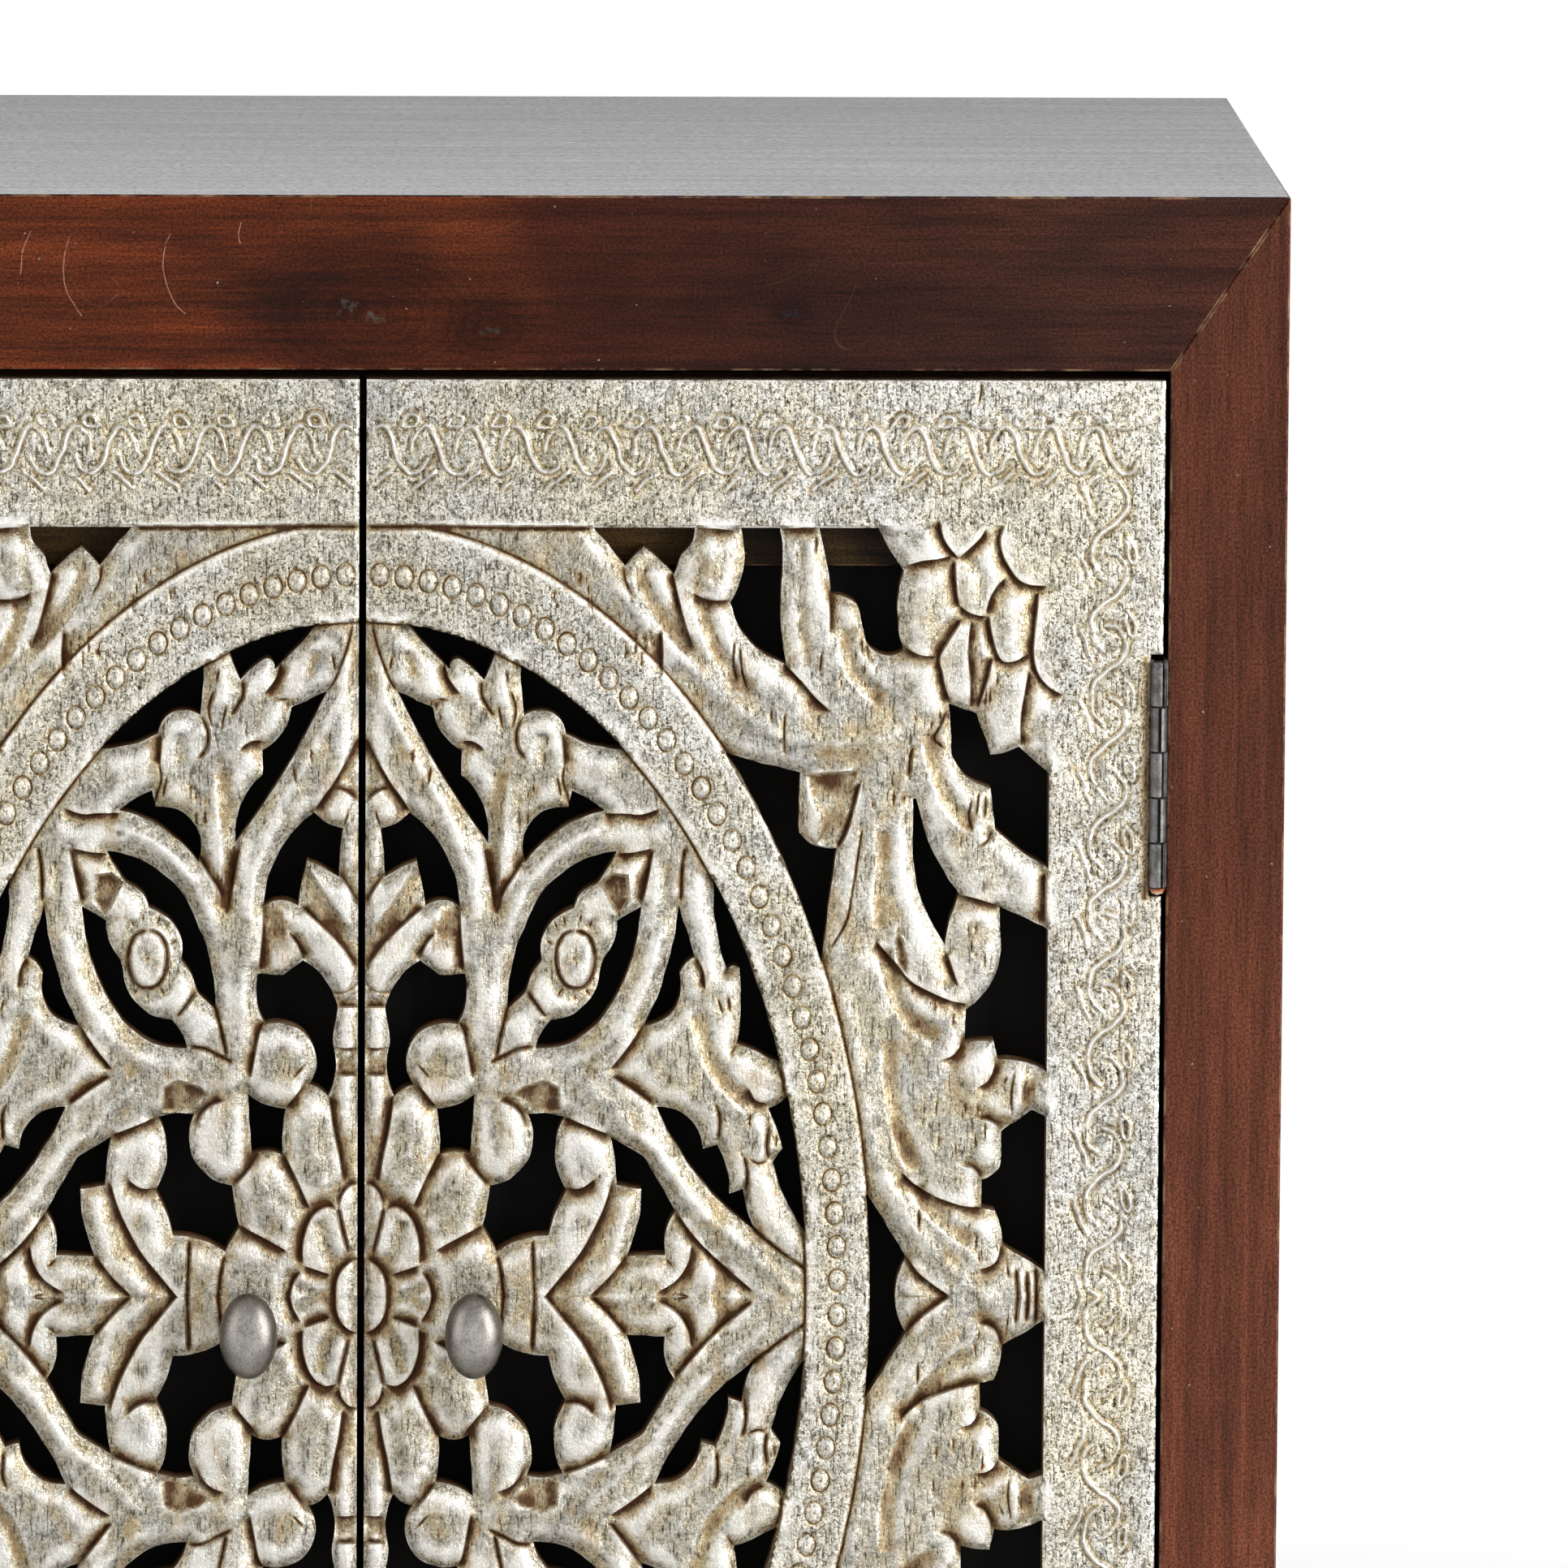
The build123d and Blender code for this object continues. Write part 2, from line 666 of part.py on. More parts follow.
for place, hinge_top in hinge_tops.items():
    frame_leaf = hinge_leaf(frame_wood, -1, (0, 2, 4), hinge_top)
    finish(frame_leaf, f"right_{place}_hinge_frame_leaf")
    finish(twin(frame_leaf), f"left_{place}_hinge_frame_leaf")
    door_leaf = hinge_leaf(door_wood, 1, (1, 3), hinge_top)
    finish(door_leaf, f"right_{place}_hinge_door_leaf")
    finish(twin(door_leaf), f"left_{place}_hinge_door_leaf")
    hinge_foot = hinge_top - hinge_height
    with BuildPart() as pin:
        with BuildSketch(Plane.XZ.offset(-hinge_y)):
            with BuildLine():
                Polyline(
                    (hinge_x, hinge_foot - pin_tip),
                    (hinge_x, hinge_top),
                    (hinge_x + pin_radius, hinge_top),
                    (hinge_x + pin_radius, hinge_foot),
                    (hinge_x + knuckle_radius, hinge_foot),
                    (hinge_x + 0.7 * knuckle_radius, hinge_foot - 0.7 * pin_tip),
                    (hinge_x, hinge_foot - pin_tip),
                )
            make_face()
        revolve(axis=Axis((hinge_x, hinge_y, hinge_foot), (0, 0, 1)))
    finish(pin, f"right_{place}_hinge_pin")
    finish(twin(pin), f"left_{place}_hinge_pin")

frame_screws = leaf_screws(frame_wood, -1)
finish(frame_screws, "right_hinge_frame_screws")
finish(twin(frame_screws), "left_hinge_frame_screws")
door_screws = leaf_screws(door_wood, 1)
finish(door_screws, "right_hinge_door_screws")
finish(twin(door_screws), "left_hinge_door_screws")
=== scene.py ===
# %% [markdown]
# A two-door cabinet with carved, pierced doors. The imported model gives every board, hinge and
# knob its place; this notebook gives them their worked surfaces. It starts by loading that
# model, because every piece below takes its size from it instead of from a guess.

# %% Load the frame
import math

import bmesh
import bpy
import numpy as np
from mathutils import Matrix, Vector, kdtree, noise
from mathutils.geometry import delaunay_2d_cdt


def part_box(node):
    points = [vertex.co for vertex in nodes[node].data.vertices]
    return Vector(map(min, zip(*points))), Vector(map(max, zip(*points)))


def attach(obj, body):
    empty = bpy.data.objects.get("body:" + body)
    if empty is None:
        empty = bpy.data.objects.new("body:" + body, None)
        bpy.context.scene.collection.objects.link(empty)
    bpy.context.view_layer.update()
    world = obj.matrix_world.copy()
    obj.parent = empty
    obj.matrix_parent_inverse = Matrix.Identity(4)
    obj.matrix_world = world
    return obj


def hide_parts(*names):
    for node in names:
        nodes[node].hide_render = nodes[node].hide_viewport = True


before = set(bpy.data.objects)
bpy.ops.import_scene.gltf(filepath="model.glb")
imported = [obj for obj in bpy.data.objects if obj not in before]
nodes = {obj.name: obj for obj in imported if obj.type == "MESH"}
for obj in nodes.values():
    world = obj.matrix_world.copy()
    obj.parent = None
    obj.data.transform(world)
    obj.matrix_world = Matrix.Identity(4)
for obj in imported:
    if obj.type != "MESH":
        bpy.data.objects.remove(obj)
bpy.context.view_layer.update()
noise.seed_set(7)  # noise_vector starts from the clock otherwise, so runs would differ
MM = 0.001
SIDES = {"right": 1, "left": -1}
panel_low, panel_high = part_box("right_door_carved_panel")
front, panel_back = panel_low.y, panel_high.y
middle = (panel_low.z + panel_high.z) / 2
case_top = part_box("top_board")[1].z
half_drop = (case_top - middle) / MM
print("front", front, "middle", middle, "half the height", half_drop)

# %% [markdown]
# The doors are gilded with silver leaf over carved wood. The relief could be sculpted or
# displaced from a height picture, but a carver works stroke by stroke, so the same is done
# here: each stroke is a short line on the door, with the kind of cut the tool leaves. Places
# are millimetres from the joint between the doors and down from the top of the case.
# An "edge" is a steep step with a slope on its low side, which is to the right of the way
# the stroke runs. A "fold" is a soft step, a "line" a narrow V and a "ridge" a raised crest.

# %% The strokes of the carver's tools
KINDS = {  # depth, reach on the low side, reach on the high side
    "edge": (3.2, 8.0, 0.8),
    "fold": (2.2, 8.5, 1.6),
    "line": (1.3, 0.9, 0.9),
    "groove": (2.2, 1.5, 1.5),
    "scoop": (1.5, 4.5, 4.5),
    "ridge": (-1.2, 5.0, 5.0),
    "nick": (0.9, 0.55, 0.55),
}
STROKES = {
    "cluster of buds in the corner": [
        ("edge", [(236.5, 134), (238, 141), (241, 146), (244.8, 150)]),
        ("edge", [(244.8, 150), (249, 146.5), (254, 141.5), (256, 138)]),
        ("edge", [(222, 154.5), (229, 151.5), (236, 150.5), (243, 149)]),
        ("edge", [(243, 150), (243.2, 157), (244, 165), (245, 170)]),
        ("edge", [(245, 169.5), (249, 172.5), (254, 174), (256.5, 173.5)]),
        ("edge", [(256.5, 173.5), (258, 167), (261, 161.5), (264.5, 158)]),
        ("edge", [(263, 136), (261.5, 142), (262.5, 148), (265, 153), (269, 158.5), (274, 161),
                  (281, 161.5)]),
        ("edge", [(257, 173.5), (258.5, 182), (261, 190), (264, 193), (269, 192.5), (275, 189)]),
        ("edge", [(277.5, 163), (277, 170), (276, 180), (275.5, 188), (276.5, 195), (279, 200),
                  (283, 204), (288, 206.5)]),
        ("edge", [(246.5, 174.5), (241, 183), (237, 190.5), (238, 197), (239.5, 204),
                  (242, 210)]),
        ("edge", [(221, 186), (225, 188.5), (230, 190.5), (237, 190.8)]),
        ("edge", [(250.5, 212), (250.5, 200), (249.5, 190), (250, 180), (251, 175)]),
        ("line", [(257.5, 176), (257.5, 184), (258.5, 189)]),
        ("edge", [(258.8, 190), (257.5, 197), (255.5, 204), (253, 212)]),
        ("edge", [(271.5, 228), (271.5, 215), (273, 205), (274.5, 196)]),
        ("line", [(240.5, 213), (238, 219), (235.5, 225), (240, 229)]),
        ("scoop", [(251, 150), (253, 160), (252, 168)]),
        ("ridge", [(231, 158), (230, 170), (229, 183)]),
        ("ridge", [(266, 165), (266, 178), (266, 188)]),
        ("ridge", [(251, 154), (251, 163), (251, 170)]),
    ],
    "leaves above the ring": [
        ("fold", [(133, 191), (123, 180), (115, 167), (111, 157), (114, 148)]),
        ("line", [(107, 153), (108, 160), (111.5, 166.5)]),
        ("edge", [(127, 156), (129.5, 167), (132.5, 178), (136, 188)]),
        ("edge", [(122.5, 180), (123, 188), (123, 198)]),
        ("edge", [(136, 165), (141, 167.5), (147, 168), (152, 168)]),
        ("fold", [(160, 208), (152, 204), (144, 193), (140, 184), (137, 175), (136, 166)]),
        ("line", [(153, 183), (152.5, 192), (154, 201)]),
        ("line", [(155, 186), (156, 196), (158, 204)]),
        ("edge", [(173, 194), (180, 201), (186, 208), (192, 213.5)]),
        ("edge", [(136, 138), (144, 138), (153, 139)]),
        ("edge", [(171.5, 138.5), (180, 137.5), (187, 137.5)]),
        ("scoop", [(180, 142), (180, 160), (181, 180), (184, 196)]),
        ("line", [(186.5, 140), (186, 149)]),
        ("edge", [(192.5, 181), (192.5, 172), (192, 163)]),
        ("fold", [(213, 212), (205, 205.5), (199, 199), (196, 190), (195, 178)]),
        ("line", [(189, 188), (188, 198)]),
        ("groove", [(226.7, 228), (225.5, 234), (225, 241)]),
        ("line", [(174, 214), (173.5, 223), (174, 232)]),
        ("line", [(168, 212), (168.5, 218)]),
        ("ridge", [(141, 140), (143, 150), (141, 162)]),
        ("ridge", [(102, 160), (118, 178), (140, 200), (170, 222), (200, 226), (222, 222)]),
    ],
    "palmette at the tip": [
        ("line", [(4, 177.5), (6, 186), (9, 195), (12, 202), (14.5, 205.5)]),
        ("ridge", [(4, 190), (10, 208), (20, 226), (30, 246), (39, 268), (45, 290), (47, 315),
                   (48, 340)]),
        ("scoop", [(17, 188), (20, 194), (21.5, 200)]),
        ("line", [(12.5, 190), (11, 197)]),
        ("edge", [(33.5, 194), (34.5, 199), (37, 203), (40, 206.5)]),
        ("line", [(30.5, 208.5), (37, 209)]),
        ("groove", [(49, 201), (49, 207), (51, 211), (54, 215.5)]),
        ("edge", [(41, 226.5), (45, 226.5), (48, 228), (50, 230)]),
        ("line", [(56, 211), (57, 217), (58, 222)]),
        ("line", [(61, 205), (63, 213), (61.5, 221)]),
        ("line", [(59, 196), (60, 203)]),
        ("groove", [(66, 216), (63.5, 222), (64, 229), (67.5, 233.5)]),
        ("edge", [(83.5, 236), (83, 229), (82.5, 223)]),
        ("scoop", [(75, 222), (74, 230), (74.5, 236)]),
        ("edge", [(1.5, 225), (6, 234), (11, 243), (16, 250), (19.5, 256)]),
        ("edge", [(12, 245.5), (7, 246.5), (1.5, 251)]),
        ("line", [(28.5, 236), (27, 244)]),
        ("ridge", [(53, 195), (57, 203), (58, 212)]),
        ("fold", [(61, 238), (59, 262), (56.5, 288)]),
    ],
    "palmette above the rosette": [
        ("line", [(5.5, 255), (7.5, 262)]),
        ("edge", [(10, 280.5), (5.5, 286.5), (1.5, 294)]),
        ("fold", [(3, 305), (13, 291), (22, 278)]),
        ("edge", [(25, 295), (17, 302), (9, 310), (1.5, 321)]),
        ("edge", [(29.5, 306), (26, 311), (23.5, 317.5)]),
        ("fold", [(30, 308), (31, 301), (32, 295)]),
        ("edge", [(40, 294), (40.5, 306), (42, 322)]),
        ("edge", [(10, 336.5), (1.5, 336.5)]),
        ("edge", [(1.5, 354.5), (10.5, 354.5)]),
        ("edge", [(10, 365), (1.5, 365)]),
        ("line", [(1.5, 328), (8, 331), (13, 331)]),
        ("edge", [(55, 297), (53, 284), (50.5, 271)]),
        ("edge", [(68, 273), (63, 281), (58, 289), (55.5, 298)]),
        ("line", [(83.5, 235), (82.5, 242), (84.5, 249), (85.5, 254)]),
        ("line", [(80, 240), (82, 250)]),
    ],
    "eye between the straps": [
        ("ridge", [(98, 263), (85, 268), (72, 280), (63, 300), (60, 325)]),
        ("groove", [(68.5, 330.5), (72, 335.5), (76, 341)]),
        ("groove", [(88, 304.5), (93.5, 307.5), (96, 315), (95.5, 322), (92.5, 327.5),
                    (88, 329), (83.5, 327), (80.7, 321), (80.3, 313), (83, 307), (88, 304.5)]),
        ("scoop", [(88, 301), (95, 305), (98, 316), (95, 327), (88, 332), (80, 328), (77, 316),
                   (80, 305), (88, 301)]),
        ("groove", [(87.8, 315.4), (88.2, 317.4)]),
        ("line", [(79, 301), (81, 305)]), ("line", [(83, 298), (84, 303)]),
        ("line", [(90, 297.5), (90, 302)]), ("line", [(95, 300), (93.5, 304)]),
        ("line", [(81, 332), (83, 328.5)]), ("line", [(88, 334.5), (88, 331)]),
        ("line", [(94, 332), (92, 329)]), ("line", [(76, 309), (79, 311)]),
        ("edge", [(99.5, 256.7), (108, 256.5), (115, 257), (122.5, 254.5)]),
        ("edge", [(105, 273.5), (112, 272.7), (119.5, 271)]),
        ("edge", [(119.7, 271), (117.5, 283), (115, 294)]),
        ("groove", [(133, 270), (131.7, 281), (131.5, 293)]),
        ("scoop", [(125.5, 275), (125, 290), (123.5, 302)]),
        ("edge", [(137.5, 316), (140.5, 322), (141.3, 329)]),
        ("edge", [(149, 323.5), (152, 321), (156, 319.5)]),
        ("line", [(147, 333), (149, 340)]), ("line", [(151, 332), (152, 339)]),
        ("ridge", [(123, 305), (118, 325), (107, 345), (90, 360)]),
        ("groove", [(60.5, 336), (57.5, 348), (55.5, 358)]),
        ("groove", [(53, 360), (60, 356.5), (65, 354), (71, 353.5)]),
    ],
    "pearls and the fan": [
        ("edge", [(46, 366), (44.5, 358), (42.5, 348), (40, 343)]),
        ("edge", [(21.5, 367.5), (26, 373), (31, 379.5)]),
        ("line", [(23, 360.5), (28, 366)]),
        ("edge", [(68.5, 387), (66, 381.5), (62, 377.5), (57, 375.5)]),
        ("edge", [(53, 412), (47, 405), (42, 398)]),
        ("edge", [(83, 383), (92, 386.5), (104, 391.5)]),
        ("edge", [(84, 413), (89, 413.5), (93, 412), (96.5, 409)]),
        ("edge", [(103, 363), (110, 354), (117, 344)]),
        ("edge", [(121, 378), (112, 371), (103.5, 365.5)]),
        ("fold", [(157, 380), (145, 368), (138.5, 355), (135, 340)]),
        ("line", [(156, 352), (154, 354), (152, 357.5)]),
        ("edge", [(159.5, 371), (162.5, 376), (168.5, 378)]),
        ("line", [(173, 361), (174.5, 367), (174, 373)]),
        ("groove", [(146, 377), (148, 383), (147.5, 393)]),
        ("groove", [(158, 399), (159.5, 406), (159, 415), (158.5, 420)]),
        ("groove", [(168.5, 386), (167.5, 395), (168.5, 401)]),
        ("line", [(160, 400), (164, 402), (168, 401)]),
        ("groove", [(161, 429), (170, 436.5), (178, 442.5), (184, 446.5)]),
        ("ridge", [(90, 366), (104, 380), (117, 393), (128, 406), (137, 418), (149, 430),
                   (160, 439), (172, 450), (180, 458)]),
    ],
    "chevron beside the knob": [
        ("edge", [(75, 460), (83, 450), (91, 440), (97, 429), (101, 420), (104, 410)]),
        ("groove", [(71, 434), (71.3, 447), (72, 462)]),
        ("groove", [(56.5, 441), (58, 449), (59.5, 462)]),
        ("ridge", [(109.5, 412), (109.5, 425), (107, 437), (97, 449), (86, 459)]),
        ("edge", [(95, 458), (103, 450), (110, 441)]),
        ("edge", [(123, 456.5), (129, 453), (133, 449), (136, 443), (137, 436)]),
        ("line", [(126, 442), (127.5, 444), (129.5, 445.5)]),
        ("edge", [(130, 423), (135, 430), (141, 437), (148, 444), (155, 450), (162, 456)]),
        ("fold", [(143, 458), (146.5, 450), (144, 442)]),
        ("ridge", [(96, 458), (110, 458), (124, 458)]),
        ("line", [(129, 456.5), (136, 458)]),
    ],
    "rosette": [
        ("edge", [(13, 374), (11, 388), (8.5, 400), (7, 411)]),
        ("edge", [(21.5, 421.5), (27, 409), (32.5, 398)]),
        ("edge", [(31, 439), (41, 433.5), (51, 428.5)]),
        ("edge", [(9.5, 420), (8, 415), (5, 411.5), (1.5, 410.5)]),
        ("edge", [(24.5, 444), (24.5, 436), (22.5, 428), (19, 422.5), (14.5, 420), (10, 421)]),
        ("groove", [(9.5, 420), (8, 428), (6, 436), (5, 441)]),
        ("edge", [(12, 449.5), (18, 447.5), (23.5, 445.5)]),
        ("edge", [(30, 460), (28.5, 453), (25.5, 447.5)]),
        ("edge", [(11, 460), (10.5, 452), (8.5, 447), (5, 443.5), (1.5, 442)]),
        ("ridge", [(5, 372), (5, 388), (4, 402)]),
        ("ridge", [(22, 378), (20, 395), (15, 412)]),
        ("ridge", [(42, 405), (38, 418), (28, 430)]),
        ("scoop", [(17, 425), (15, 435), (12, 445)]),
        ("scoop", [(28, 452), (22, 456), (14, 458)]),
    ],
    "scroll beside the border": [
        ("fold", [(252, 264), (246, 261.5), (240, 255), (235.5, 246), (232, 236), (230, 222)]),
        ("line", [(251, 250), (250, 257), (251.5, 263)]),
        ("line", [(254, 247), (253, 257)]),
        ("line", [(257, 248), (256.5, 258)]),
        ("line", [(259.5, 262), (258, 267), (254, 270)]),
        ("edge", [(281.5, 281), (281.5, 291), (281.5, 302)]),
        ("edge", [(205, 243), (200, 262), (196, 271)]),
        ("line", [(206, 262), (204, 276), (202, 290), (200, 300), (196, 308), (193, 313)]),
        ("fold", [(211, 305), (210, 290), (211.5, 275), (211, 262)]),
        ("fold", [(219.5, 303), (215, 298), (212, 287), (212, 276)]),
        ("edge", [(212, 309.5), (216, 314.5), (221, 320), (225, 325), (229, 328), (236, 331.5),
                  (243, 334.5), (249.5, 336)]),
        ("edge", [(241, 314), (243, 320), (245.8, 328)]),
        ("edge", [(244, 290.5), (252, 291.5), (263, 295)]),
        ("fold", [(222, 342), (217, 333), (213.5, 322), (212, 312)]),
        ("edge", [(240, 359), (244, 357.5), (247.3, 354), (249, 348)]),
        ("fold", [(238, 353), (230, 349), (224, 344), (219, 337)]),
        ("edge", [(255, 370.5), (259, 368), (261.5, 363), (262.5, 357)]),
        ("line", [(267, 365), (265, 370)]), ("line", [(270, 363), (268.5, 373), (269, 382)]),
        ("line", [(275, 363), (273.5, 374)]),
        ("edge", [(265, 389), (262.5, 385.5), (259, 383.5), (255.5, 383)]),
        ("edge", [(256.5, 409.5), (255, 406), (252.5, 403.5), (248.5, 402.5)]),
        ("edge", [(223.5, 406.5), (228, 411), (234, 415), (241, 418), (249, 420.5),
                  (257, 421.5)]),
        ("fold", [(251, 438), (243, 433), (236, 427), (230, 420), (226, 412)]),
        ("edge", [(256, 447), (260, 446), (263.5, 443), (265.5, 436)]),
        ("line", [(267, 440), (268, 450)]),
        ("groove", [(271, 446), (272, 458), (272, 466)]),
        ("groove", [(275.5, 447), (276, 458), (276, 466)]),
        ("groove", [(279.5, 446), (279.5, 458), (279.5, 466)]),
        ("edge", [(225, 441), (230, 448), (236, 453), (244, 458.7)]),
        ("fold", [(221, 457), (234, 457.5), (245, 459)]),
        ("fold", [(227, 407), (222, 399), (218, 387), (215.5, 373), (214.5, 362), (214, 350)]),
        ("ridge", [(198, 330), (204, 355), (208, 380), (215, 405), (228, 428), (245, 448),
                   (262, 460)]),
        ("line", [(230.5, 421), (230.5, 431)]),
    ],
    "foot of the border": [
        ("groove", [(1.5, 137), (30, 137), (60, 137.5), (93, 137.5)]),
        ("line", [(253, 75), (253.5, 80), (252.5, 86)]),
        ("line", [(192.5, 76), (192, 80)]),
    ],
}
print(sum(len(group) for group in STROKES.values()), "strokes")

# %% [markdown]
# A stroke is given by a few points. A smooth curve through them gives the path of the tool,
# and the distance of any spot from that path, with its side, gives the depth of the cut there.
# A height picture could hold the same, but it would have steps where its pixels are.

# %% Depth of one stroke
def smooth_line(points, step=0.9):
    """Points about a step apart on a smooth curve through the given ones."""
    given = np.array(points, float)
    padded = np.vstack([2 * given[0] - given[1], given, 2 * given[-1] - given[-2]])
    runs = []
    for a, b, c, d in zip(padded, padded[1:], padded[2:], padded[3:]):
        count = max(1, math.ceil(np.linalg.norm(c - b) / step))
        t = (np.arange(count) / count)[:, None]
        runs.append(b + 0.5 * t * ((c - a) + t * ((2 * a - 5 * b + 4 * c - d)
                                                 + t * (3 * (b - c) + d - a))))
    return np.vstack(runs + [given[-1:]])


def nearest_on(path, spots):
    """Distance, signed side and place along the path of the nearest point, for each spot."""
    a, along = path[:-1], np.diff(path, axis=0)
    length = np.linalg.norm(along, axis=1)
    offset = spots[:, None] - a
    t = np.clip((offset * along).sum(-1) / length**2, 0, 1)
    gap = np.linalg.norm(offset - t[..., None] * along, axis=-1)
    pick = gap.argmin(1)
    row = np.arange(len(spots))
    near, run = offset[row, pick], along[pick]
    side = np.sign(run[:, 0] * near[:, 1] - run[:, 1] * near[:, 0])
    place = np.concatenate([[0], np.cumsum(length)])[pick] + t[row, pick] * length[pick]
    return gap[row, pick], side, place, length.sum()


def noise_at(spots, across, down, seed):
    """Smooth noise at each spot, stretched by two lengths."""
    return np.array([noise.noise(Vector((x / across, d / down, seed))) for x, d in spots])


def wander(points, size, seed):
    """A small shift for each point, much alike for points that lie close together."""
    return np.array([noise.noise_vector(Vector((x / size, d / size, seed)))[:2]
                     for x, d in points])


RUN_OUT = 2.5  # a tool comes out of the wood over this length at each end of its stroke


def stroke_depth(kind, path, spots):
    """Depth of a stroke at each spot, and the painted shade, with some wax, on its low side under
    the leaf.
    """
    depth, low, high = KINDS[kind]
    gap, side, place, total = nearest_on(path, spots)
    r = np.clip(gap / np.where(side >= 0, low, high), 0, 1)
    ends = np.maximum(np.clip(np.minimum(place, total - place) / RUN_OUT, 0, 1) ** 0.6, 0.25)
    dark = np.zeros(len(spots))
    if kind == "edge":
        shape = np.where(side >= 0, (1 - r) ** 1.6, 1 - r)
        # painted shade, with some wax, on the low side under a steep step
        shade_under_edge = np.maximum(np.clip(1 - 5 * r, 0, 1), 0.85 * (1 - r) ** 2.2)
        dark = np.where(side >= 0, shade_under_edge, 1 - r)
    elif kind == "fold":
        shape = np.where(side >= 0, np.sin(np.pi * r), 0)
        dark = 0.25 * np.where(side >= 0, (1 - r) ** 1.5, 0)
    elif kind in ("scoop", "ridge"):
        shape = np.cos(0.5 * np.pi * r) ** 2
    else:
        shape = 1 - r
        dark = shape
    return depth * shape * ends, dark * ends


# %% [markdown]
# The flat border carries a running vine, punched in rather than carved, so it stands up only
# a little. One repeat is drawn once, in parts of its own pitch and width, and set out along
# the top border and down the hinge side. The ring has a row of beads, each in its own groove.

# %% Vine and beads
VINE = [  # along and across one repeat
    [(0, 0), (0.04, 0.45), (0.2, 0.9), (0.4, 0.95), (0.56, 0.5), (0.68, -0.2), (0.82, -0.75),
     (1.02, -0.95), (1.22, -0.8), (1.36, -0.3)],
    [(0.05, -1.6), (0.3, -1.2), (0.48, -0.95)],
    [(0.8, 1.0), (0.95, 1.4), (1.15, 1.35), (1.1, 1.0), (0.85, 0.95)],
]
BOLD = [[(0.38, 0.98), (0.47, 0.8), (0.58, 0.3), (0.7, -0.35), (0.82, -0.78), (0.96, -0.98)]]
TOP_X, TOP_PITCH, TOP_DROP, TOP_SPREAD = 148, 18.3, 105, 10
SIDE_X, SIDE_SPREAD, SIDE_DROP, SIDE_PITCH = 307, 7.5, 237, 30
RIB_HEIGHT, RIB_WIDTH, RIB_GROOVE, RIB_REACH = 1.3, 0.78, 0.65, 2.8
BOLD_HEIGHT, BOLD_WIDTH, BOLD_REACH = 1.55, 0.85, 2.2
BEADS = 32
BEAD_START, BEAD_STEP, BEAD_SWAY = 0.0355, 0.04875, 0.02
BEAD_RADIUS = np.array([3.3, 4.2])
BEAD_HEIGHT, BEAD_PRICK, MOAT_DEPTH = 1.2, 0.7, 0.7
ring_outer, ring_inner, ring_beads = (210.5, 322.5), (184.5, 282), (197, 301.5)
border_x, border_drop = 283, 137
edge_x, top_drop = 329.4, 76


def set_out(parts):
    """The parts of one repeat, set out along the top border and down the hinge side."""
    paths = [[(TOP_X + TOP_PITCH * (n + u), TOP_DROP - TOP_SPREAD * v) for u, v in part]
             for n in range(-8, 9) for part in parts]
    paths += [[(SIDE_X + SIDE_SPREAD * v, SIDE_DROP + SIDE_PITCH * (n + u)) for u, v in part]
              for n in range(-4, 8) for part in parts]
    paths = [smooth_line(path, 1.0) for path in paths]
    for path in paths:
        path += 0.9 * wander(path, 6, 9)
    paths = [path[(path[:, 0] > 3) & (path[:, 0] < 321) & (path[:, 1] < 458)] for path in paths]
    return [path for path in paths if len(path) > 3]


vine, bold = set_out(VINE), set_out(BOLD)

turns = [BEAD_START + BEAD_STEP * k + BEAD_SWAY * math.sin(math.pi * k / (BEADS - 1))
         for k in range(BEADS)]
beads = np.array([(ring_beads[0] * math.sin(t), half_drop - ring_beads[1] * math.cos(t))
                  for t in turns])
print(len(vine), "parts of the vine,", len(beads), "beads in the upper half")


def oval_gap(oval, spots):
    """Signed distance of each spot outside an oval about the middle of the doors."""
    x, z = spots[:, 0], half_drop - spots[:, 1]
    a, b = oval
    level = (x / a) ** 2 + (z / b) ** 2 - 1
    return level / (2 * np.hypot(x / a**2, z / b**2) + 1e-6)


# %% [markdown]
# All depths are added up in one place. Flat bands keep the level of the board, the leaves lie
# lower, the rim of each opening is rounded over, and a few hollows are cut right down.

# %% Relief of the whole upper half
CHATTER = [  # where dull tools left upright nicks: x from and to, drop from and to, how many
    (79, 96, 151, 170, 11), (107, 122, 177, 193, 10), (196, 224, 172, 208, 14),
    (226, 246, 208, 222, 7), (252, 262, 186, 214, 6), (236, 262, 300, 345, 10),
    (206, 226, 236, 262, 6), (20, 34, 205, 240, 5), (236, 262, 372, 400, 8),
    (160, 182, 372, 396, 6), (250, 275, 425, 450, 7), (60, 76, 240, 262, 5),
]
HOLLOWS = [  # depth, outline
    (2.6, [(182.5, 239), (205, 237.5), (203, 248), (199, 262), (196, 271), (187, 269),
           (187.5, 258), (184, 250)]),
    (3.2, [(98, 285), (103, 280.5), (110, 281), (111, 293), (105, 300)]),
    (2.8, [(220.7, 301), (223.5, 308), (226, 317), (226, 324), (222, 321), (220, 318),
           (219.5, 310)]),
    (2.2, [(61, 373), (66, 369.5), (76, 366.5), (82, 370), (83, 381), (70, 382), (66, 378)]),
    (3.0, [(1.5, 355), (11, 355), (11, 365), (1.5, 365)]),
    (2.4, [(1.5, 238), (9, 239), (10, 244), (1.5, 250)]),
    (1.6, [(272, 360), (280, 362), (280, 382), (272, 384)]),
]
LEAF_LEVEL, RIM_DEPTH, RIM_REACH = 1.6, 3.6, 6.5
FLAT_RIM_DEPTH, FLAT_RIM_REACH = 0.9, 1.3
CORNER_X, CORNER_DROP = 222, 222  # the buds in the corner beyond this lie level with the border

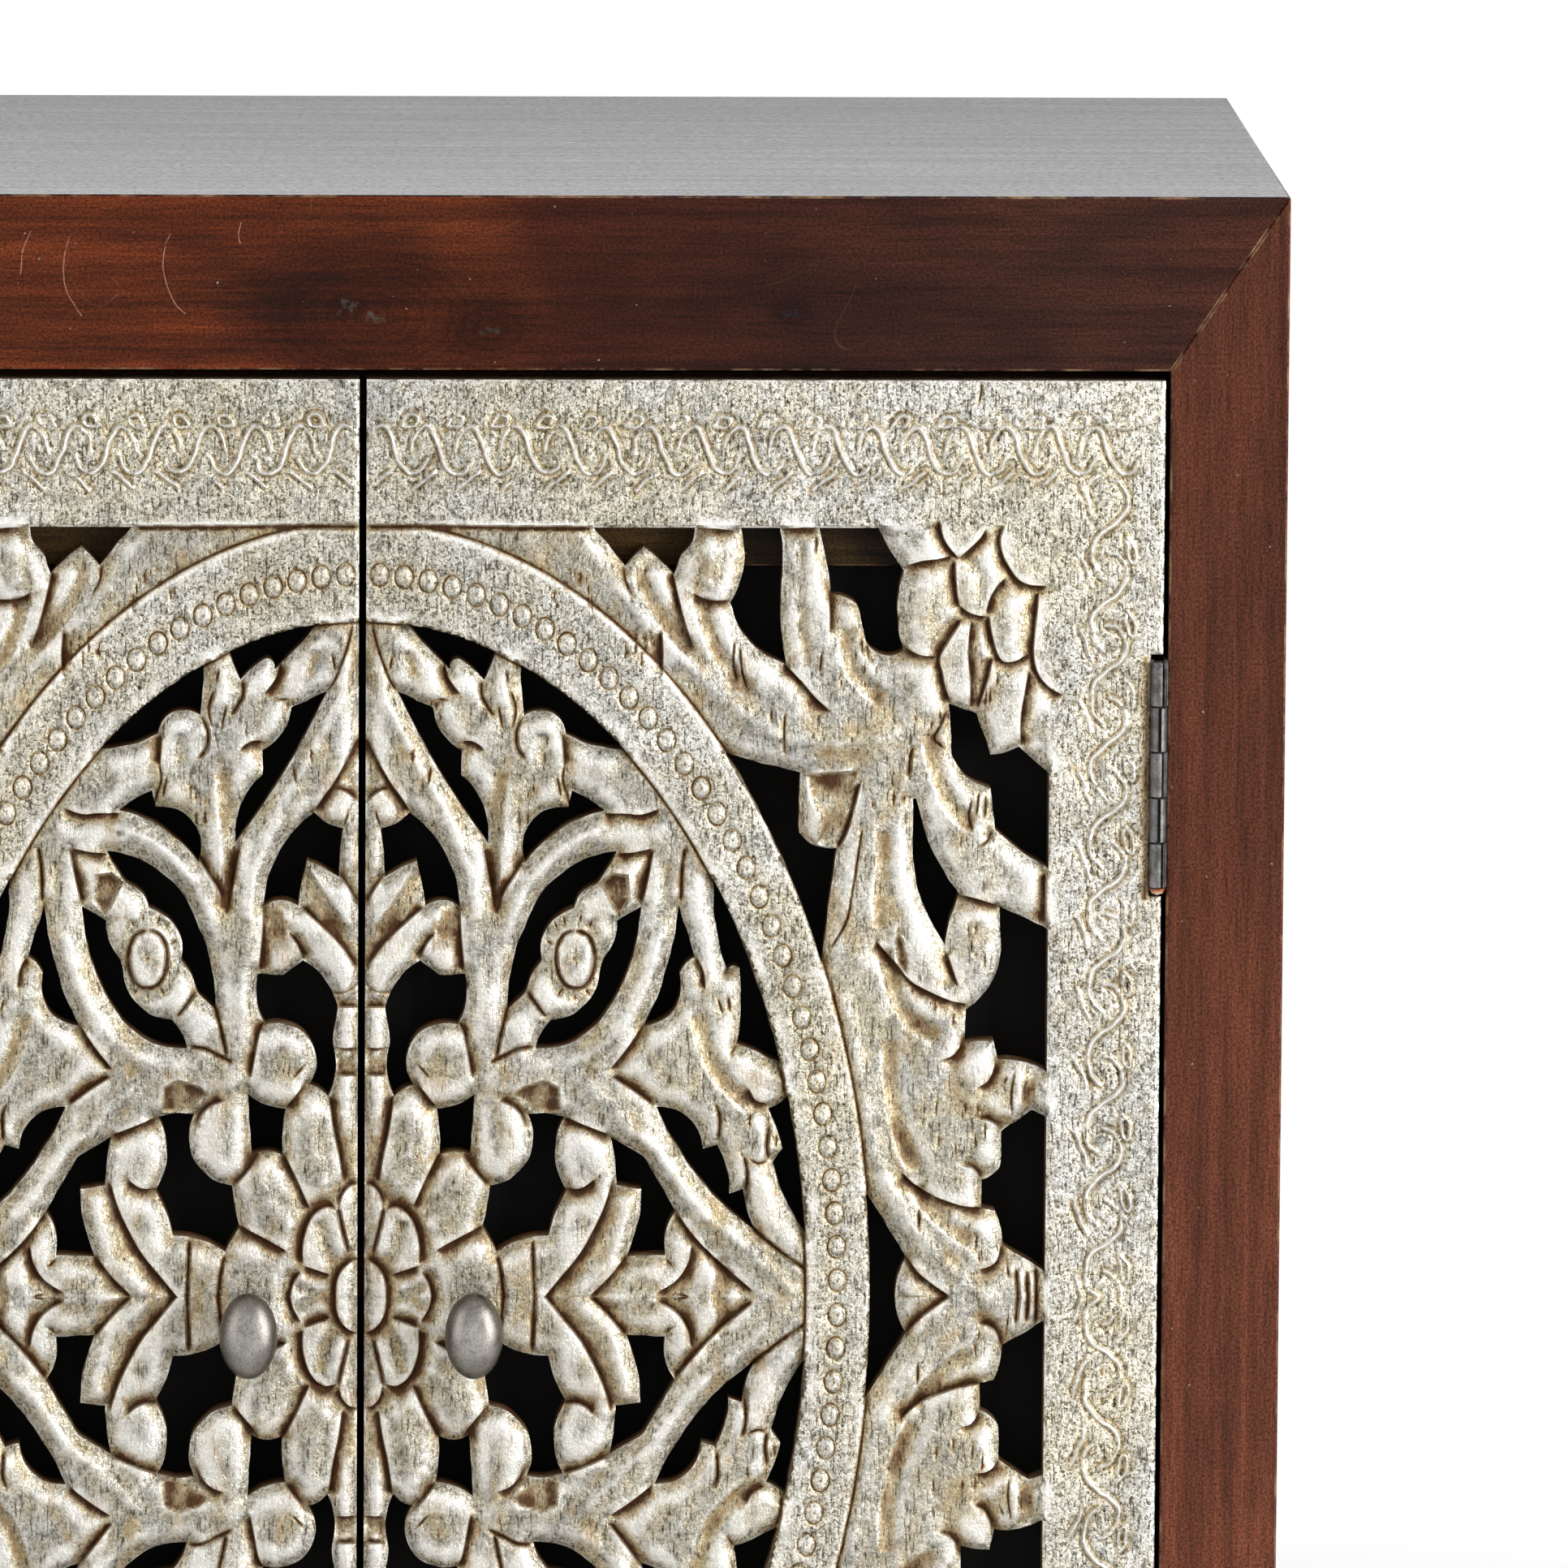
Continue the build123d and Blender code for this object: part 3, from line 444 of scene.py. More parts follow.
rng = np.random.default_rng(7)
nicks = []
for x_from, x_to, d_from, d_to, count in CHATTER:
    for x, d, long, lean in zip(rng.uniform(x_from, x_to, count),
                                rng.uniform(d_from, d_to - 5, count),
                                rng.uniform(3, 8, count), rng.uniform(-0.7, 0.7, count)):
        nicks.append([(x, d), (x + lean * 0.6, d + long / 2), (x + lean, d + long)])
STROKES["nicks"] = [("nick", nick) for nick in nicks]


def inside(outline, spots):
    """Whether each spot lies inside a closed outline."""
    a, b = np.array(outline), np.roll(np.array(outline), -1, axis=0)
    x, y = spots[:, :1], spots[:, 1:]
    crosses = (a[:, 1] > y) != (b[:, 1] > y)
    rise = np.where(b[:, 1] == a[:, 1], 1e-9, b[:, 1] - a[:, 1])
    at = a[:, 0] + (y - a[:, 1]) * (b[:, 0] - a[:, 0]) / rise
    return (crosses & (x < at)).sum(1) % 2 == 1


def within(path, spots, reach):
    """Indices of the spots in the path's box, grown by the reach."""
    low, high = path.min(0) - reach, path.max(0) + reach
    return np.nonzero(((spots > low) & (spots < high)).all(1))[0]


def off_flats(spots):
    """How far each spot lies off the ring and off the border, both of which are flat."""
    off_ring = np.maximum(oval_gap(ring_outer, spots), -oval_gap(ring_inner, spots))
    return off_ring, np.minimum(border_x - spots[:, 0], spots[:, 1] - border_drop)


def relief(spots, rim_gap):
    """Depth below the board's face and darkness of the wax and painted shade, for spots in the
    upper half.
    """
    count = len(spots)
    steep, soft, raised, dark = (np.zeros(count) for _ in range(4))
    for group in STROKES.values():
        for kind, points in group:
            path = smooth_line(points)
            near = within(path, spots, max(KINDS[kind][1:]))
            if len(near) == 0:
                continue
            depth, shade = stroke_depth(kind, path, spots[near])
            if kind == "ridge":
                raised[near] = np.minimum(raised[near], depth)
            elif kind in ("fold", "scoop"):
                soft[near] = np.maximum(soft[near], depth)
                dark[near] = np.maximum(dark[near], shade)
            else:
                steep[near] = np.maximum(steep[near], depth)
                dark[near] = np.maximum(dark[near], shade)

    uneven = noise_at(spots, 6, 8, 5)
    dark *= np.clip(0.8 + 1.5 * uneven, 0.25, 1)
    off_ring, off_border = off_flats(spots)
    off_flat = np.minimum(off_ring, off_border)
    in_corner = (np.clip((spots[:, 0] - CORNER_X) / 10, 0, 1)
                 * np.clip((CORNER_DROP - spots[:, 1]) / 12, 0, 1))
    field = np.clip(off_flat / 1.2, 0, 1) * (1 - in_corner)
    level = LEAF_LEVEL * field
    # a groove along the edges of the ring, darkened with wax and painted shade
    ring_line = np.where(off_border > 0, np.clip(1 - np.abs(off_ring - 0.7) / 1.1, 0, 1), 0)
    steep = np.maximum(steep, 1.3 * ring_line)
    dark = np.maximum(dark, 0.9 * ring_line)

    for depth, outline in HOLLOWS:
        shape = np.array(outline + outline[:1], float)
        near = within(shape, spots, 0)
        near = near[inside(outline, spots[near])]
        if len(near):
            deep = np.clip(nearest_on(shape, spots[near])[0] / 2.2, 0, 1)
            steep[near] = np.maximum(steep[near], depth * deep)
            # painted shade in each hollow, darker towards its side away from the joint
            across = (spots[near, 0] - shape[:, 0].min()) / np.ptp(shape[:, 0])
            shade = deep * np.clip(0.5 * across + 0.9 * uneven[near], 0, 0.6)
            dark[near] = np.maximum(dark[near], shade)

    flat = off_flat <= 0
    rim_reach = np.where(flat, FLAT_RIM_REACH, RIM_REACH)
    rim_depth = np.where(flat, FLAT_RIM_DEPTH, RIM_DEPTH)
    r = np.clip(1 - rim_gap / rim_reach, 0, 1)
    rounding = rim_depth * (0.3 * (1 - np.sqrt(1 - 0.98 * r**2)) + 0.7 * r**1.2)

    for path in vine:
        near = within(path, spots, RIB_REACH)
        gap = nearest_on(path, spots[near])[0]
        strength = np.clip(0.85 + 1.2 * uneven[near], 0.35, 1.15)
        rib = RIB_HEIGHT * strength * np.exp(-((gap / RIB_WIDTH) ** 2))
        side_groove = RIB_GROOVE * strength * np.exp(-(((gap - 1.75) / 0.6) ** 2))
        raised[near] = np.minimum(raised[near], -rib)
        steep[near] = np.maximum(steep[near], side_groove)
        dark[near] = np.maximum(dark[near], 0.13 * side_groove / RIB_GROOVE)
    for path in bold:
        near = within(path, spots, BOLD_REACH)
        gap = nearest_on(path, spots[near])[0]
        raised[near] = np.minimum(raised[near], -BOLD_HEIGHT * np.exp(-((gap / BOLD_WIDTH) ** 2)))
    for bead in beads:
        near = within(bead[None], spots, 7)
        r = np.linalg.norm((spots[near] - bead) / BEAD_RADIUS, axis=1)
        dome = (-BEAD_HEIGHT * np.sqrt(np.clip(1 - r**2, 0, 1))
                + BEAD_PRICK * np.clip(1 - r / 0.22, 0, 1))
        moat = np.exp(-(((r - 1.15) / 0.14) ** 2))
        raised[near] = np.minimum(raised[near], dome)
        steep[near] = np.maximum(steep[near], MOAT_DEPTH * moat)
        # wax and painted shade in the moat round each bead and in its pricked centre
        shade = np.maximum(np.clip(0.4 + 0.9 * uneven[near], 0.2, 0.75) * moat,
                           0.7 * np.clip(1 - r / 0.3, 0, 1))
        dark[near] = np.maximum(dark[near], shade)

    waves, dents = noise_at(spots, 8, 13, 3), noise_at(spots, 2.6, 5, 7)
    level += (0.75 * field + 0.12) * waves + (0.16 * field + 0.05) * dents + 0.12
    return level + steep + soft + raised * (1 - 0.6 * np.clip(rounding, 0, 1)) + rounding, dark


# %% [markdown]
# The same few steps come with every mesh below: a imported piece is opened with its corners
# joined, creases are kept sharp, edges without two faces are counted, since a solid has none,
# and the finished mesh becomes an object.

# %% Helpers for meshes
def packed_mesh(node):
    """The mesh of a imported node, with its corners joined."""
    work = bmesh.new()
    work.from_mesh(nodes[node].data)
    bmesh.ops.remove_doubles(work, verts=work.verts, dist=1e-6)
    return work


def placed(name, data):
    """A new object in the scene, for a mesh, a light or a camera."""
    made = bpy.data.objects.new(name, data)
    bpy.context.scene.collection.objects.link(made)
    return made


def to_object(work, name):
    """An object from a bmesh, in the scene."""
    mesh = bpy.data.meshes.new(name)
    work.to_mesh(mesh)
    work.free()
    return placed(name, mesh)


def keep_creases(work, angle):
    """Sharp edges where the faces turn by more than an angle."""
    for edge in work.edges:
        edge.smooth = not (len(edge.link_faces) == 2 and edge.calc_face_angle(0) > angle)


def count_open(work):
    """How many edges don't join exactly two faces."""
    return sum(len(e.link_faces) != 2 for e in work.edges)


def search_tree(spots):
    """A tree that finds the nearest of the spots."""
    found = kdtree.KDTree(len(spots))
    for index, (x, d) in enumerate(spots):
        found.insert((x, d, 0), index)
    found.balance()
    return found


print("helpers for meshes are ready")

# %% [markdown]
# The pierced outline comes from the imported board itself: its back face is kept, cut at half
# the height, and the edges left open are the outlines. They are then loosened a little, as
# a fretsaw guided by hand never follows the drawing quite exactly.

# %% Outlines of the pierced board
OUTLINE_STEP, CORNER_TURN, WOBBLE = 1.3, 0.65, 0.45


def loops_of(edges):
    """Closed loops of vertices from boundary edges."""
    links = {}
    for edge in edges:
        for vert in edge.verts:
            links.setdefault(vert, []).append(edge.other_vert(vert))
    loops = []
    while links:
        start = next(iter(links))
        loop, last, now = [start], None, start
        while True:
            ahead = [v for v in links.pop(now) if v is not last]
            last, now = now, ahead[0]
            if now is start:
                break
            loop.append(now)
        loops.append(loop)
    return loops


def board_outlines(node):
    """Outlines of the upper half of a pierced board, as points in mm from seam and top."""
    work = packed_mesh(node)
    others = [f for f in work.faces
              if f.normal.y < 0.9 or abs(f.calc_center_median().y - panel_back) > 1e-5]
    bmesh.ops.delete(work, geom=others, context="FACES")
    bmesh.ops.bisect_plane(work, geom=work.verts[:] + work.edges[:] + work.faces[:],
                           plane_co=(0, 0, middle), plane_no=(0, 0, 1), clear_inner=True)
    open_edges = [e for e in work.edges if len(e.link_faces) == 1]
    found = [np.array([(v.co.x / MM, (case_top - v.co.z) / MM) for v in loop])
             for loop in loops_of(open_edges)]
    work.free()
    return found


def loosened(loop):
    """The outline in small steps, with soft curves eased and a slight wobble."""
    before, after = np.roll(loop, 1, axis=0), np.roll(loop, -1, axis=0)
    into, out = loop - before, after - loop
    turn = np.abs(np.arctan2(into[:, 0] * out[:, 1] - into[:, 1] * out[:, 0],
                             (into * out).sum(1)))
    points, fixed = [], []
    for here, there, angle in zip(loop, after, turn):
        steps = max(1, math.ceil(np.linalg.norm(there - here) / OUTLINE_STEP))
        points += [here + (there - here) * k / steps for k in range(steps)]
        fixed += [angle > CORNER_TURN] + [False] * (steps - 1)
    points, fixed = np.array(points), np.array(fixed)
    x, drop = points.T
    straight = ((abs(x - border_x) < 0.05) | (abs(drop - border_drop) < 0.05) | (x < 1.6)
                | (x > 320) | (drop < top_drop + 0.1) | (drop > half_drop - 0.01))
    hold = (fixed | straight)[:, None]
    for _ in range(3):
        mean = (np.roll(points, 1, axis=0) + np.roll(points, -1, axis=0)) / 2
        points = np.where(hold, points, 0.4 * points + 0.6 * mean)
    return np.where(straight[:, None], points, points + WOBBLE * wander(points, 7, 0))


outlines = [loosened(loop) for loop in board_outlines("right_door_carved_panel")]
print(len(outlines), "outlines,", sum(map(len, outlines)), "points")

# %% [markdown]
# The face between the outlines is filled with triangles. They are small along strokes, beads
# and vine and larger on the flats, so detail costs faces only where a tool has been. The
# border and the fretwork inside it are two pieces with a common edge, as each is a
# large mesh.

# %% Points of the carved face
LATTICE_STEP, LATTICE_REACH = 1.3, 2.5
SPLIT_X, SPLIT_DROP = border_x + 1.2, border_drop - 1.2
BESIDE = {"edge": (0, -0.75), "line": (0, 0.8, -0.8), "groove": (0, 1.4, -1.4),
          "nick": (0, 0.5, -0.5)}
BESIDE_VINE = (0, 0.55, -0.55, 1.1, -1.1, 1.65, -1.65, 2.4, -2.4)


def beside(path, offsets):
    """Rows of points beside a path."""
    along = np.gradient(path, axis=0)
    across = np.stack([-along[:, 1], along[:, 0]], 1)
    across /= np.linalg.norm(across, axis=1)[:, None]
    return np.vstack([path + across * offset for offset in offsets])


def thinned(groups, gap):
    """All points of the groups in turn, without those nearer than a gap to an earlier one."""
    cells, kept = {}, []
    for group, room in groups:
        for x, y in group:
            i, j = int(x // gap), int(y // gap)
            close = any((x - a) ** 2 + (y - b) ** 2 < room * room
                        for m in (i - 1, i, i + 1) for n in (j - 1, j, j + 1)
                        for a, b in cells.get((m, n), ()))
            if not close:
                cells.setdefault((i, j), []).append((x, y))
                kept.append((x, y))
    return np.array(kept)


loop_points = np.vstack(outlines)
split = np.array([(x, SPLIT_DROP) for x in np.arange(panel_low.x / MM, SPLIT_X, 1.2)]
                 + [(SPLIT_X, d) for d in np.append(np.arange(SPLIT_DROP, half_drop - 0.6, 1.2),
                                                    half_drop)])
rows = []
for group in STROKES.values():
    for kind, points in group:
        rows.append(beside(smooth_line(points, 1.1), BESIDE.get(kind, (0,))))
rings = []
for (a, b), gaps in ((ring_outer, (0, 0.7, 1.7)), (ring_inner, (0, -0.7, -1.7))):
    turn = np.arange(0, math.pi / 2, 1.2 / 260)
    for gap in gaps:
        rings.append(np.stack([(a + gap) * np.sin(turn),
                               half_drop - (b + gap) * np.cos(turn)], 1))
vine_rows = [beside(part, BESIDE_VINE) for part in vine]
bead_rows = []
for bead in beads:
    for reach, count in ((0, 1), (0.25, 6), (0.62, 12), (0.96, 20), (1.14, 20), (1.34, 20)):
        turn = np.arange(count) * 2 * math.pi / count
        bead_rows.append(bead + reach * BEAD_RADIUS * np.stack([np.cos(turn), np.sin(turn)], 1))
hollow_rows = [smooth_line(line, 1.2)
               for _, shape in HOLLOWS for line in zip(shape, shape[1:] + shape[:1])]

strokes_tree = search_tree(np.vstack(rows + rings + hollow_rows + [loop_points]))
lattice = []
for j, d in enumerate(np.arange(top_drop, half_drop, LATTICE_STEP * 0.87)):
    for i, x in enumerate(np.arange(1.5 + LATTICE_STEP / 2 * (j % 2), edge_x, LATTICE_STEP)):
        wide = j % 2 == 0 and i % 2 == j // 2 % 2
        if wide or strokes_tree.find((x, d, 0))[2] < LATTICE_REACH:
            lattice.append((x, d))


def on_board(spots):
    """Whether each spot is on the wood of the upper half."""
    hits = np.zeros(len(spots), int)
    for outline in outlines:
        near = np.nonzero(((spots >= outline.min(0)) & (spots <= outline.max(0))).all(1))[0]
        if len(near):
            hits[near] += inside(outline, spots[near])
    return hits % 2 == 1


def clear_of(spots):
    """The spots that are on the wood and not on its very edge."""
    spots = spots[on_board(spots)]
    return np.array([s for s in spots if edge_tree.find((*s, 0))[2] > 0.45])


edge_tree = search_tree(np.vstack([loop_points, split]))
free = [(clear_of(np.vstack(group)), room)
        for group, room in ((bead_rows, 0.45), (vine_rows, 0.48), (rows, 0.5), (rings, 0.5),
                            (hollow_rows, 0.5), ([np.array(lattice)], 0.7))]
loose_points = thinned(free, 0.75)
print(len(loop_points), "points on the outlines,", len(loose_points), "on the face")

# %% [markdown]
# The triangles are found by a Delaunay triangulation that keeps the outlines. Depth is added
# to each point, the lower half is the upper one turned over, and the open edges are drawn
# back through the thickness of the board, so that each piece is a closed solid.

# %% Triangles and depths
def chain(count, start):
    """Index pairs joining a run of points into a loop."""
    return [(start + k, start + (k + 1) % count) for k in range(count)]


flat_points, pairs = [], []
for outline in outlines:
    pairs += chain(len(outline), len(flat_points))
    flat_points += outline.tolist()
on_split = np.append(on_board(split[:-1] + 1e-4), True)
for k in range(len(split) - 1):
    if on_split[k] and on_split[k + 1]:
        pairs.append((len(flat_points), len(flat_points) + 1))
        flat_points += [split[k].tolist(), split[k + 1].tolist()]
flat_points += loose_points.tolist()
spots, _, triangles, *_ = delaunay_2d_cdt([Vector(p) for p in flat_points], pairs, [], 0, 1e-4)
spots = np.array([tuple(s) for s in spots])
triangles = np.array([t for t in triangles if len(t) == 3])
centres = spots[triangles].mean(1)
keep = on_board(centres)
triangles, centres = triangles[keep], centres[keep]
in_border = (centres[:, 0] > SPLIT_X) | (centres[:, 1] < SPLIT_DROP)
print(len(spots), "points,", len(triangles), "triangles,", in_border.sum(), "in the border")

dense_rim = []
for outline in outlines:
    for a, b in zip(outline, np.roll(outline, -1, axis=0)):
        if max(a[1], b[1]) < half_drop - 0.01 or a[0] < 1.51 and b[0] < 1.51:
            dense_rim += [a + (b - a) * k / 4 for k in range(4)]
rim_tree = search_tree(dense_rim)
rim_gap = np.array([rim_tree.find((x, d, 0))[2] for x, d in spots])
depth, dark = relief(spots, rim_gap)
print("depths from", depth.min(), "to", depth.max())

# %% [markdown]
# Brown wax stays in the cuts and on the slopes, and rubbing bares the crests. Both are found
# from the relief itself: a place that lies deeper than what surrounds it is a cavity, and one
# that lies higher is a crest. The darkening also holds painted shade: under the steep edges,
# on steep slopes, towards the middle of the doors and beside the hinges. The crests of the bold
# vine get a painted highlight. Each point of the mesh then carries its share of both.

# %% Cavities and high places
HINGE_EDGE_X, HINGE_DROPS = 322.6, (190, 292)
BARE_DROP, BARE_END = 137.3, 93

pairs = np.vstack([triangles[:, [0, 1]], triangles[:, [1, 2]], triangles[:, [2, 0]]])
pairs = np.vstack([pairs, pairs[:, ::-1]])
neighbours = np.maximum(np.bincount(pairs[:, 0], minlength=len(spots)), 1)


def averaged(values, rounds):
    """Values averaged with those of their neighbours, a number of times."""
    for _ in range(rounds):
        total = np.bincount(pairs[:, 0], weights=values[pairs[:, 1]], minlength=len(spots))
        values = 0.4 * values + 0.6 * total / neighbours
    return values


cavity = depth - averaged(depth, 12)
off_rim = np.clip((rim_gap - 0.8) / 3, 0, 1)
spread_shade_and_wax = averaged(dark, 14)
corner = (spots[:, 0] > CORNER_X) & (spots[:, 1] < CORNER_DROP)
on_leaves = np.clip(np.minimum(*off_flats(spots)) / np.where(corner, 26, 2), 0, 1)
glaze = np.clip(1.5 * noise_at(spots, 9, 24, 11), 0, 0.5) * (0.25 + 0.75 * on_leaves)
run = np.maximum(np.linalg.norm(spots[pairs[:, 0]] - spots[pairs[:, 1]], axis=1), 0.05)
fall = np.abs(depth[pairs[:, 0]] - depth[pairs[:, 1]]) / run
steep = averaged(np.bincount(pairs[:, 0], weights=fall, minlength=len(spots)) / neighbours, 2)
wax_and_shade = 0.85 * dark + 0.4 * spread_shade_and_wax + 0.4 * np.clip(cavity, 0, 1) * off_rim + 0.4 * glaze
# painted shade on the steep slopes of the leaves
wax_and_shade += 0.2 * np.clip(steep - 0.25, 0, 0.8) * on_leaves
# painted shade, darker towards the middle of the doors
wax_and_shade += 0.1 * np.exp(-(spots[:, 0] / 110) ** 2 - ((spots[:, 1] - half_drop) / 120) ** 2)
wax_and_shade = np.clip(wax_and_shade, 0, 1)
# painted shade in a narrow strip beside the hinge leaves, between their drops
by_hinge = np.clip(1 - np.abs(spots[:, 0] - HINGE_EDGE_X) / 3, 0, 1)
by_hinge *= (spots[:, 1] > HINGE_DROPS[0]) * (spots[:, 1] < HINGE_DROPS[1])
wax_and_shade = np.maximum(wax_and_shade, 0.75 * by_hinge)
rubbed_rim = np.clip(1 - rim_gap / 1.1, 0, 1) * (dark < 0.3)
rubbed_rim *= np.clip(0.4 + 2.5 * noise_at(spots, 7, 7, 15), 0, 1)
rubbed_and_highlit = np.clip(np.maximum(-1.7 * cavity * off_rim - 0.45, 0.9 * rubbed_rim), 0, 0.9)
rubbed_and_highlit *= 1 - 0.3 * on_leaves
print("steepness of the slopes", np.percentile(steep[on_leaves > 0.9], (50, 75, 90)).round(2))
for bead in beads:
    near = within(bead[None], spots, 5)
    rubbed_and_highlit[near] *= 0.3
# painted highlight, with some rubbing, along the crests of the bold vine strokes
for path in bold:
    near = within(path, spots, BOLD_REACH)
    crest = np.exp(-((nearest_on(path, spots[near])[0] / 0.8) ** 2))
    rubbed_and_highlit[near] = np.maximum(rubbed_and_highlit[near], crest)
    wax_and_shade[near] *= 1 - 0.9 * crest
bare = np.clip(1 - np.abs(spots[:, 1] - BARE_DROP) / 2.2, 0, 1) * (spots[:, 0] < BARE_END)
bare *= 0.6 * np.clip((BARE_END - spots[:, 0]) / 12, 0, 1)
wax_and_shade = np.maximum(wax_and_shade, bare)
print("patina on average", wax_and_shade.mean())

# %% [markdown]
# A knob has to sit on a flat place, so the relief fades out round its foot, in the half of
# the door that holds the knob.

# %% Carved pieces of a door
knob_low, knob_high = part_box("right_door_knob")
knob_x = (knob_low.x + knob_high.x) / 2 / MM
knob_drop = (case_top - (knob_low.z + knob_high.z) / 2) / MM
under_knob = np.hypot((spots[:, 0] - knob_x) / 11,
                      (2 * half_drop - spots[:, 1] - knob_drop) / 16)
flat_depth = depth * np.clip((under_knob - 0.64) / 0.36, 0, 1)


def carved_piece(name, part, side):
    """One closed carved piece of a door, from its triangles in the upper half."""
    used = np.unique(triangles[part])
    index = np.full(len(spots), -1)
    index[used] = np.arange(len(used))
    x = spots[used, 0] * MM * side
    upper = np.stack([x, front + depth[used] * MM, case_top - spots[used, 1] * MM], 1)
    lower = np.stack([x, front + flat_depth[used] * MM, 2 * middle - upper[:, 2]], 1)
    work = bmesh.new()
    # per point: wax and painted shade; rubbing, with a painted highlight on the bold vine; how
    # far off the flats
    wax_shade_layer, wear, cut_mask = (work.verts.layers.float.new(label)
                            for label in ("wax_and_shade", "wear", "carved"))
    halves = []
    for places in (upper, lower):
        verts = [work.verts.new(place) for place in places]
        for vert, p, w, c in zip(verts, wax_and_shade[used], rubbed_and_highlit[used], on_leaves[used]):
            vert[wax_shade_layer], vert[wear], vert[cut_mask] = p, w, c
        halves.append(verts)
    for verts, turn in ((halves[0], side), (halves[1], -side)):
        for a, b, c in index[triangles[part]]:
            order = (a, b, c) if turn < 0 else (a, c, b)
            work.faces.new([verts[k] for k in order])
    on_middle = [v for v in work.verts if abs(v.co.z - middle) < 1e-5]
    bmesh.ops.remove_doubles(work, verts=on_middle, dist=2e-5)
    for face in work.faces:
        face.smooth = True
    edges = [e for e in work.edges if len(e.link_faces) == 1]
    for level in (0.25, 1.0):
        grown = bmesh.ops.extrude_edge_only(work, edges=edges)["geom"]
        edges = [g for g in grown if isinstance(g, bmesh.types.BMEdge)
                 and len(g.link_faces) == 1]
        ends = {v for e in edges for v in e.verts}
        for vert in ends:
            vert.co.y = max(vert.co.y, front + (panel_back - front) * level)
            # the sawn walls are brown, and darker towards the back as painted shade in the
            # openings
            vert[wax_shade_layer] = 0.55 + 0.45 * level
            vert[wear] = 0
    bmesh.ops.triangle_fill(work, edges=edges, use_beauty=False, use_dissolve=False,
                            normal=(0, 1, 0))
    bmesh.ops.recalc_face_normals(work, faces=work.faces)
    keep_creases(work, 0.8)
    print(name, sum(len(f.verts) - 2 for f in work.faces), "triangles, open edges:",
          count_open(work))
    return to_object(work, name)


carved = {}
for word, side in SIDES.items():
    for label, part in (("border", in_border), ("fretwork", ~in_border)):
        name = f"{word}_door_carved_{label}"
        carved[name] = carved_piece(name, part, side)
        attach(carved[name], f"{word}_door")
        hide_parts(f"{word}_door_carved_panel")

# %% [markdown]
# Finishes are built from node groups that give only colours, masks and heights, so that each
# material stays short. One helper adds a node with its settings and its links.

# %% Helpers for finishes
def add(tree, kind, inputs=(), **settings):
    """A node with settings, and values or sockets on its inputs."""
    node = tree.nodes.new(kind)
    for key, value in settings.items():
        setattr(node, key, value)
    for key, value in dict(inputs).items():
        if isinstance(value, bpy.types.NodeSocket):
            tree.links.new(value, node.inputs[key])
        else:
            node.inputs[key].default_value = value
    return node


def new_group(name, inputs, outputs):
    """A node group with its sockets, and its first and last node."""
    tree = bpy.data.node_groups.new(name, "ShaderNodeTree")
    for way, sockets in (("INPUT", inputs), ("OUTPUT", outputs)):
        for label, kind in sockets:
            tree.interface.new_socket(label, in_out=way, socket_type="NodeSocket" + kind)
    return tree, tree.nodes.new("NodeGroupInput"), tree.nodes.new("NodeGroupOutput")


def sums(tree, how, a, b=0.0, c=0.5, clamp=False):
    """A calculation on two or three numbers."""
    return add(tree, "ShaderNodeMath", {0: a, 1: b, 2: c}, operation=how,
               use_clamp=clamp).outputs[0]


def times(tree, a, b, clamp=False):
    """Two numbers multiplied."""
    return sums(tree, "MULTIPLY", a, b, clamp=clamp)


def plus(tree, a, b):
    """Two numbers added."""
    return sums(tree, "ADD", a, b)


def swing(tree, value, amount):
    """A noise between 0 and 1 made to swing about 0 by an amount."""
    return times(tree, sums(tree, "SUBTRACT", value, 0.5), amount)


def ramp(tree, value, *stops):
    """A run of grey levels or colours at given places."""
    node = add(tree, "ShaderNodeValToRGB", {0: value})
    elements = node.color_ramp.elements
    while len(elements) < len(stops):
        elements.new(0.5)
    for element, (place, tone) in zip(elements, stops):
        element.position = place
        element.color = (*tone, 1) if isinstance(tone, tuple) else (tone, tone, tone, 1)
    return node.outputs[0]


def blend(tree, how, amount, a, b):
    """Two colours mixed."""
    node = add(tree, "ShaderNodeMix", data_type="RGBA", blend_type=how)
    for socket, value in ((node.inputs[0], amount), (node.inputs[6], a), (node.inputs[7], b)):
        if isinstance(value, bpy.types.NodeSocket):
            tree.links.new(value, socket)
        else:
            socket.default_value = value if isinstance(value, float) else (*value, 1)
    return node.outputs[2]


def shaded(tree, amount, tone, value, *stops):
    """A colour multiplied by a run of grey levels or colours."""
    return blend(tree, "MULTIPLY", amount, tone, ramp(tree, value, *stops))


def painted(tree, label):
    """A value that the mesh carries under a label."""
    return add(tree, "ShaderNodeAttribute", attribute_name=label).outputs["Fac"]


def axes(tree, vector):
    """The three numbers of a vector."""
    return add(tree, "ShaderNodeSeparateXYZ", {0: vector}).outputs[:]


def stretched(tree, vector, scale, place=(0, 0, 0)):
    """Coordinates stretched and shifted."""
    return add(tree, "ShaderNodeMapping", {"Vector": vector, "Scale": scale,
                                           "Location": place}).outputs[0]


def cloud(tree, vector, scale, detail=3.0, rough=0.5, twist=0.0):
    """A soft noise between 0 and 1."""
    return add(tree, "ShaderNodeTexNoise", {"Vector": vector, "Scale": scale, "Detail": detail,
                                            "Roughness": rough, "Distortion": twist}).outputs[0]


def use(tree, group, **inputs):
    """A node that stands for a group."""
    node = add(tree, "ShaderNodeGroup", node_tree=group)
    for label, value in inputs.items():
        socket = node.inputs[label.replace("_", " ")]
        if isinstance(value, bpy.types.NodeSocket):
            tree.links.new(value, socket)
        else:
            socket.default_value = value
    return node.outputs


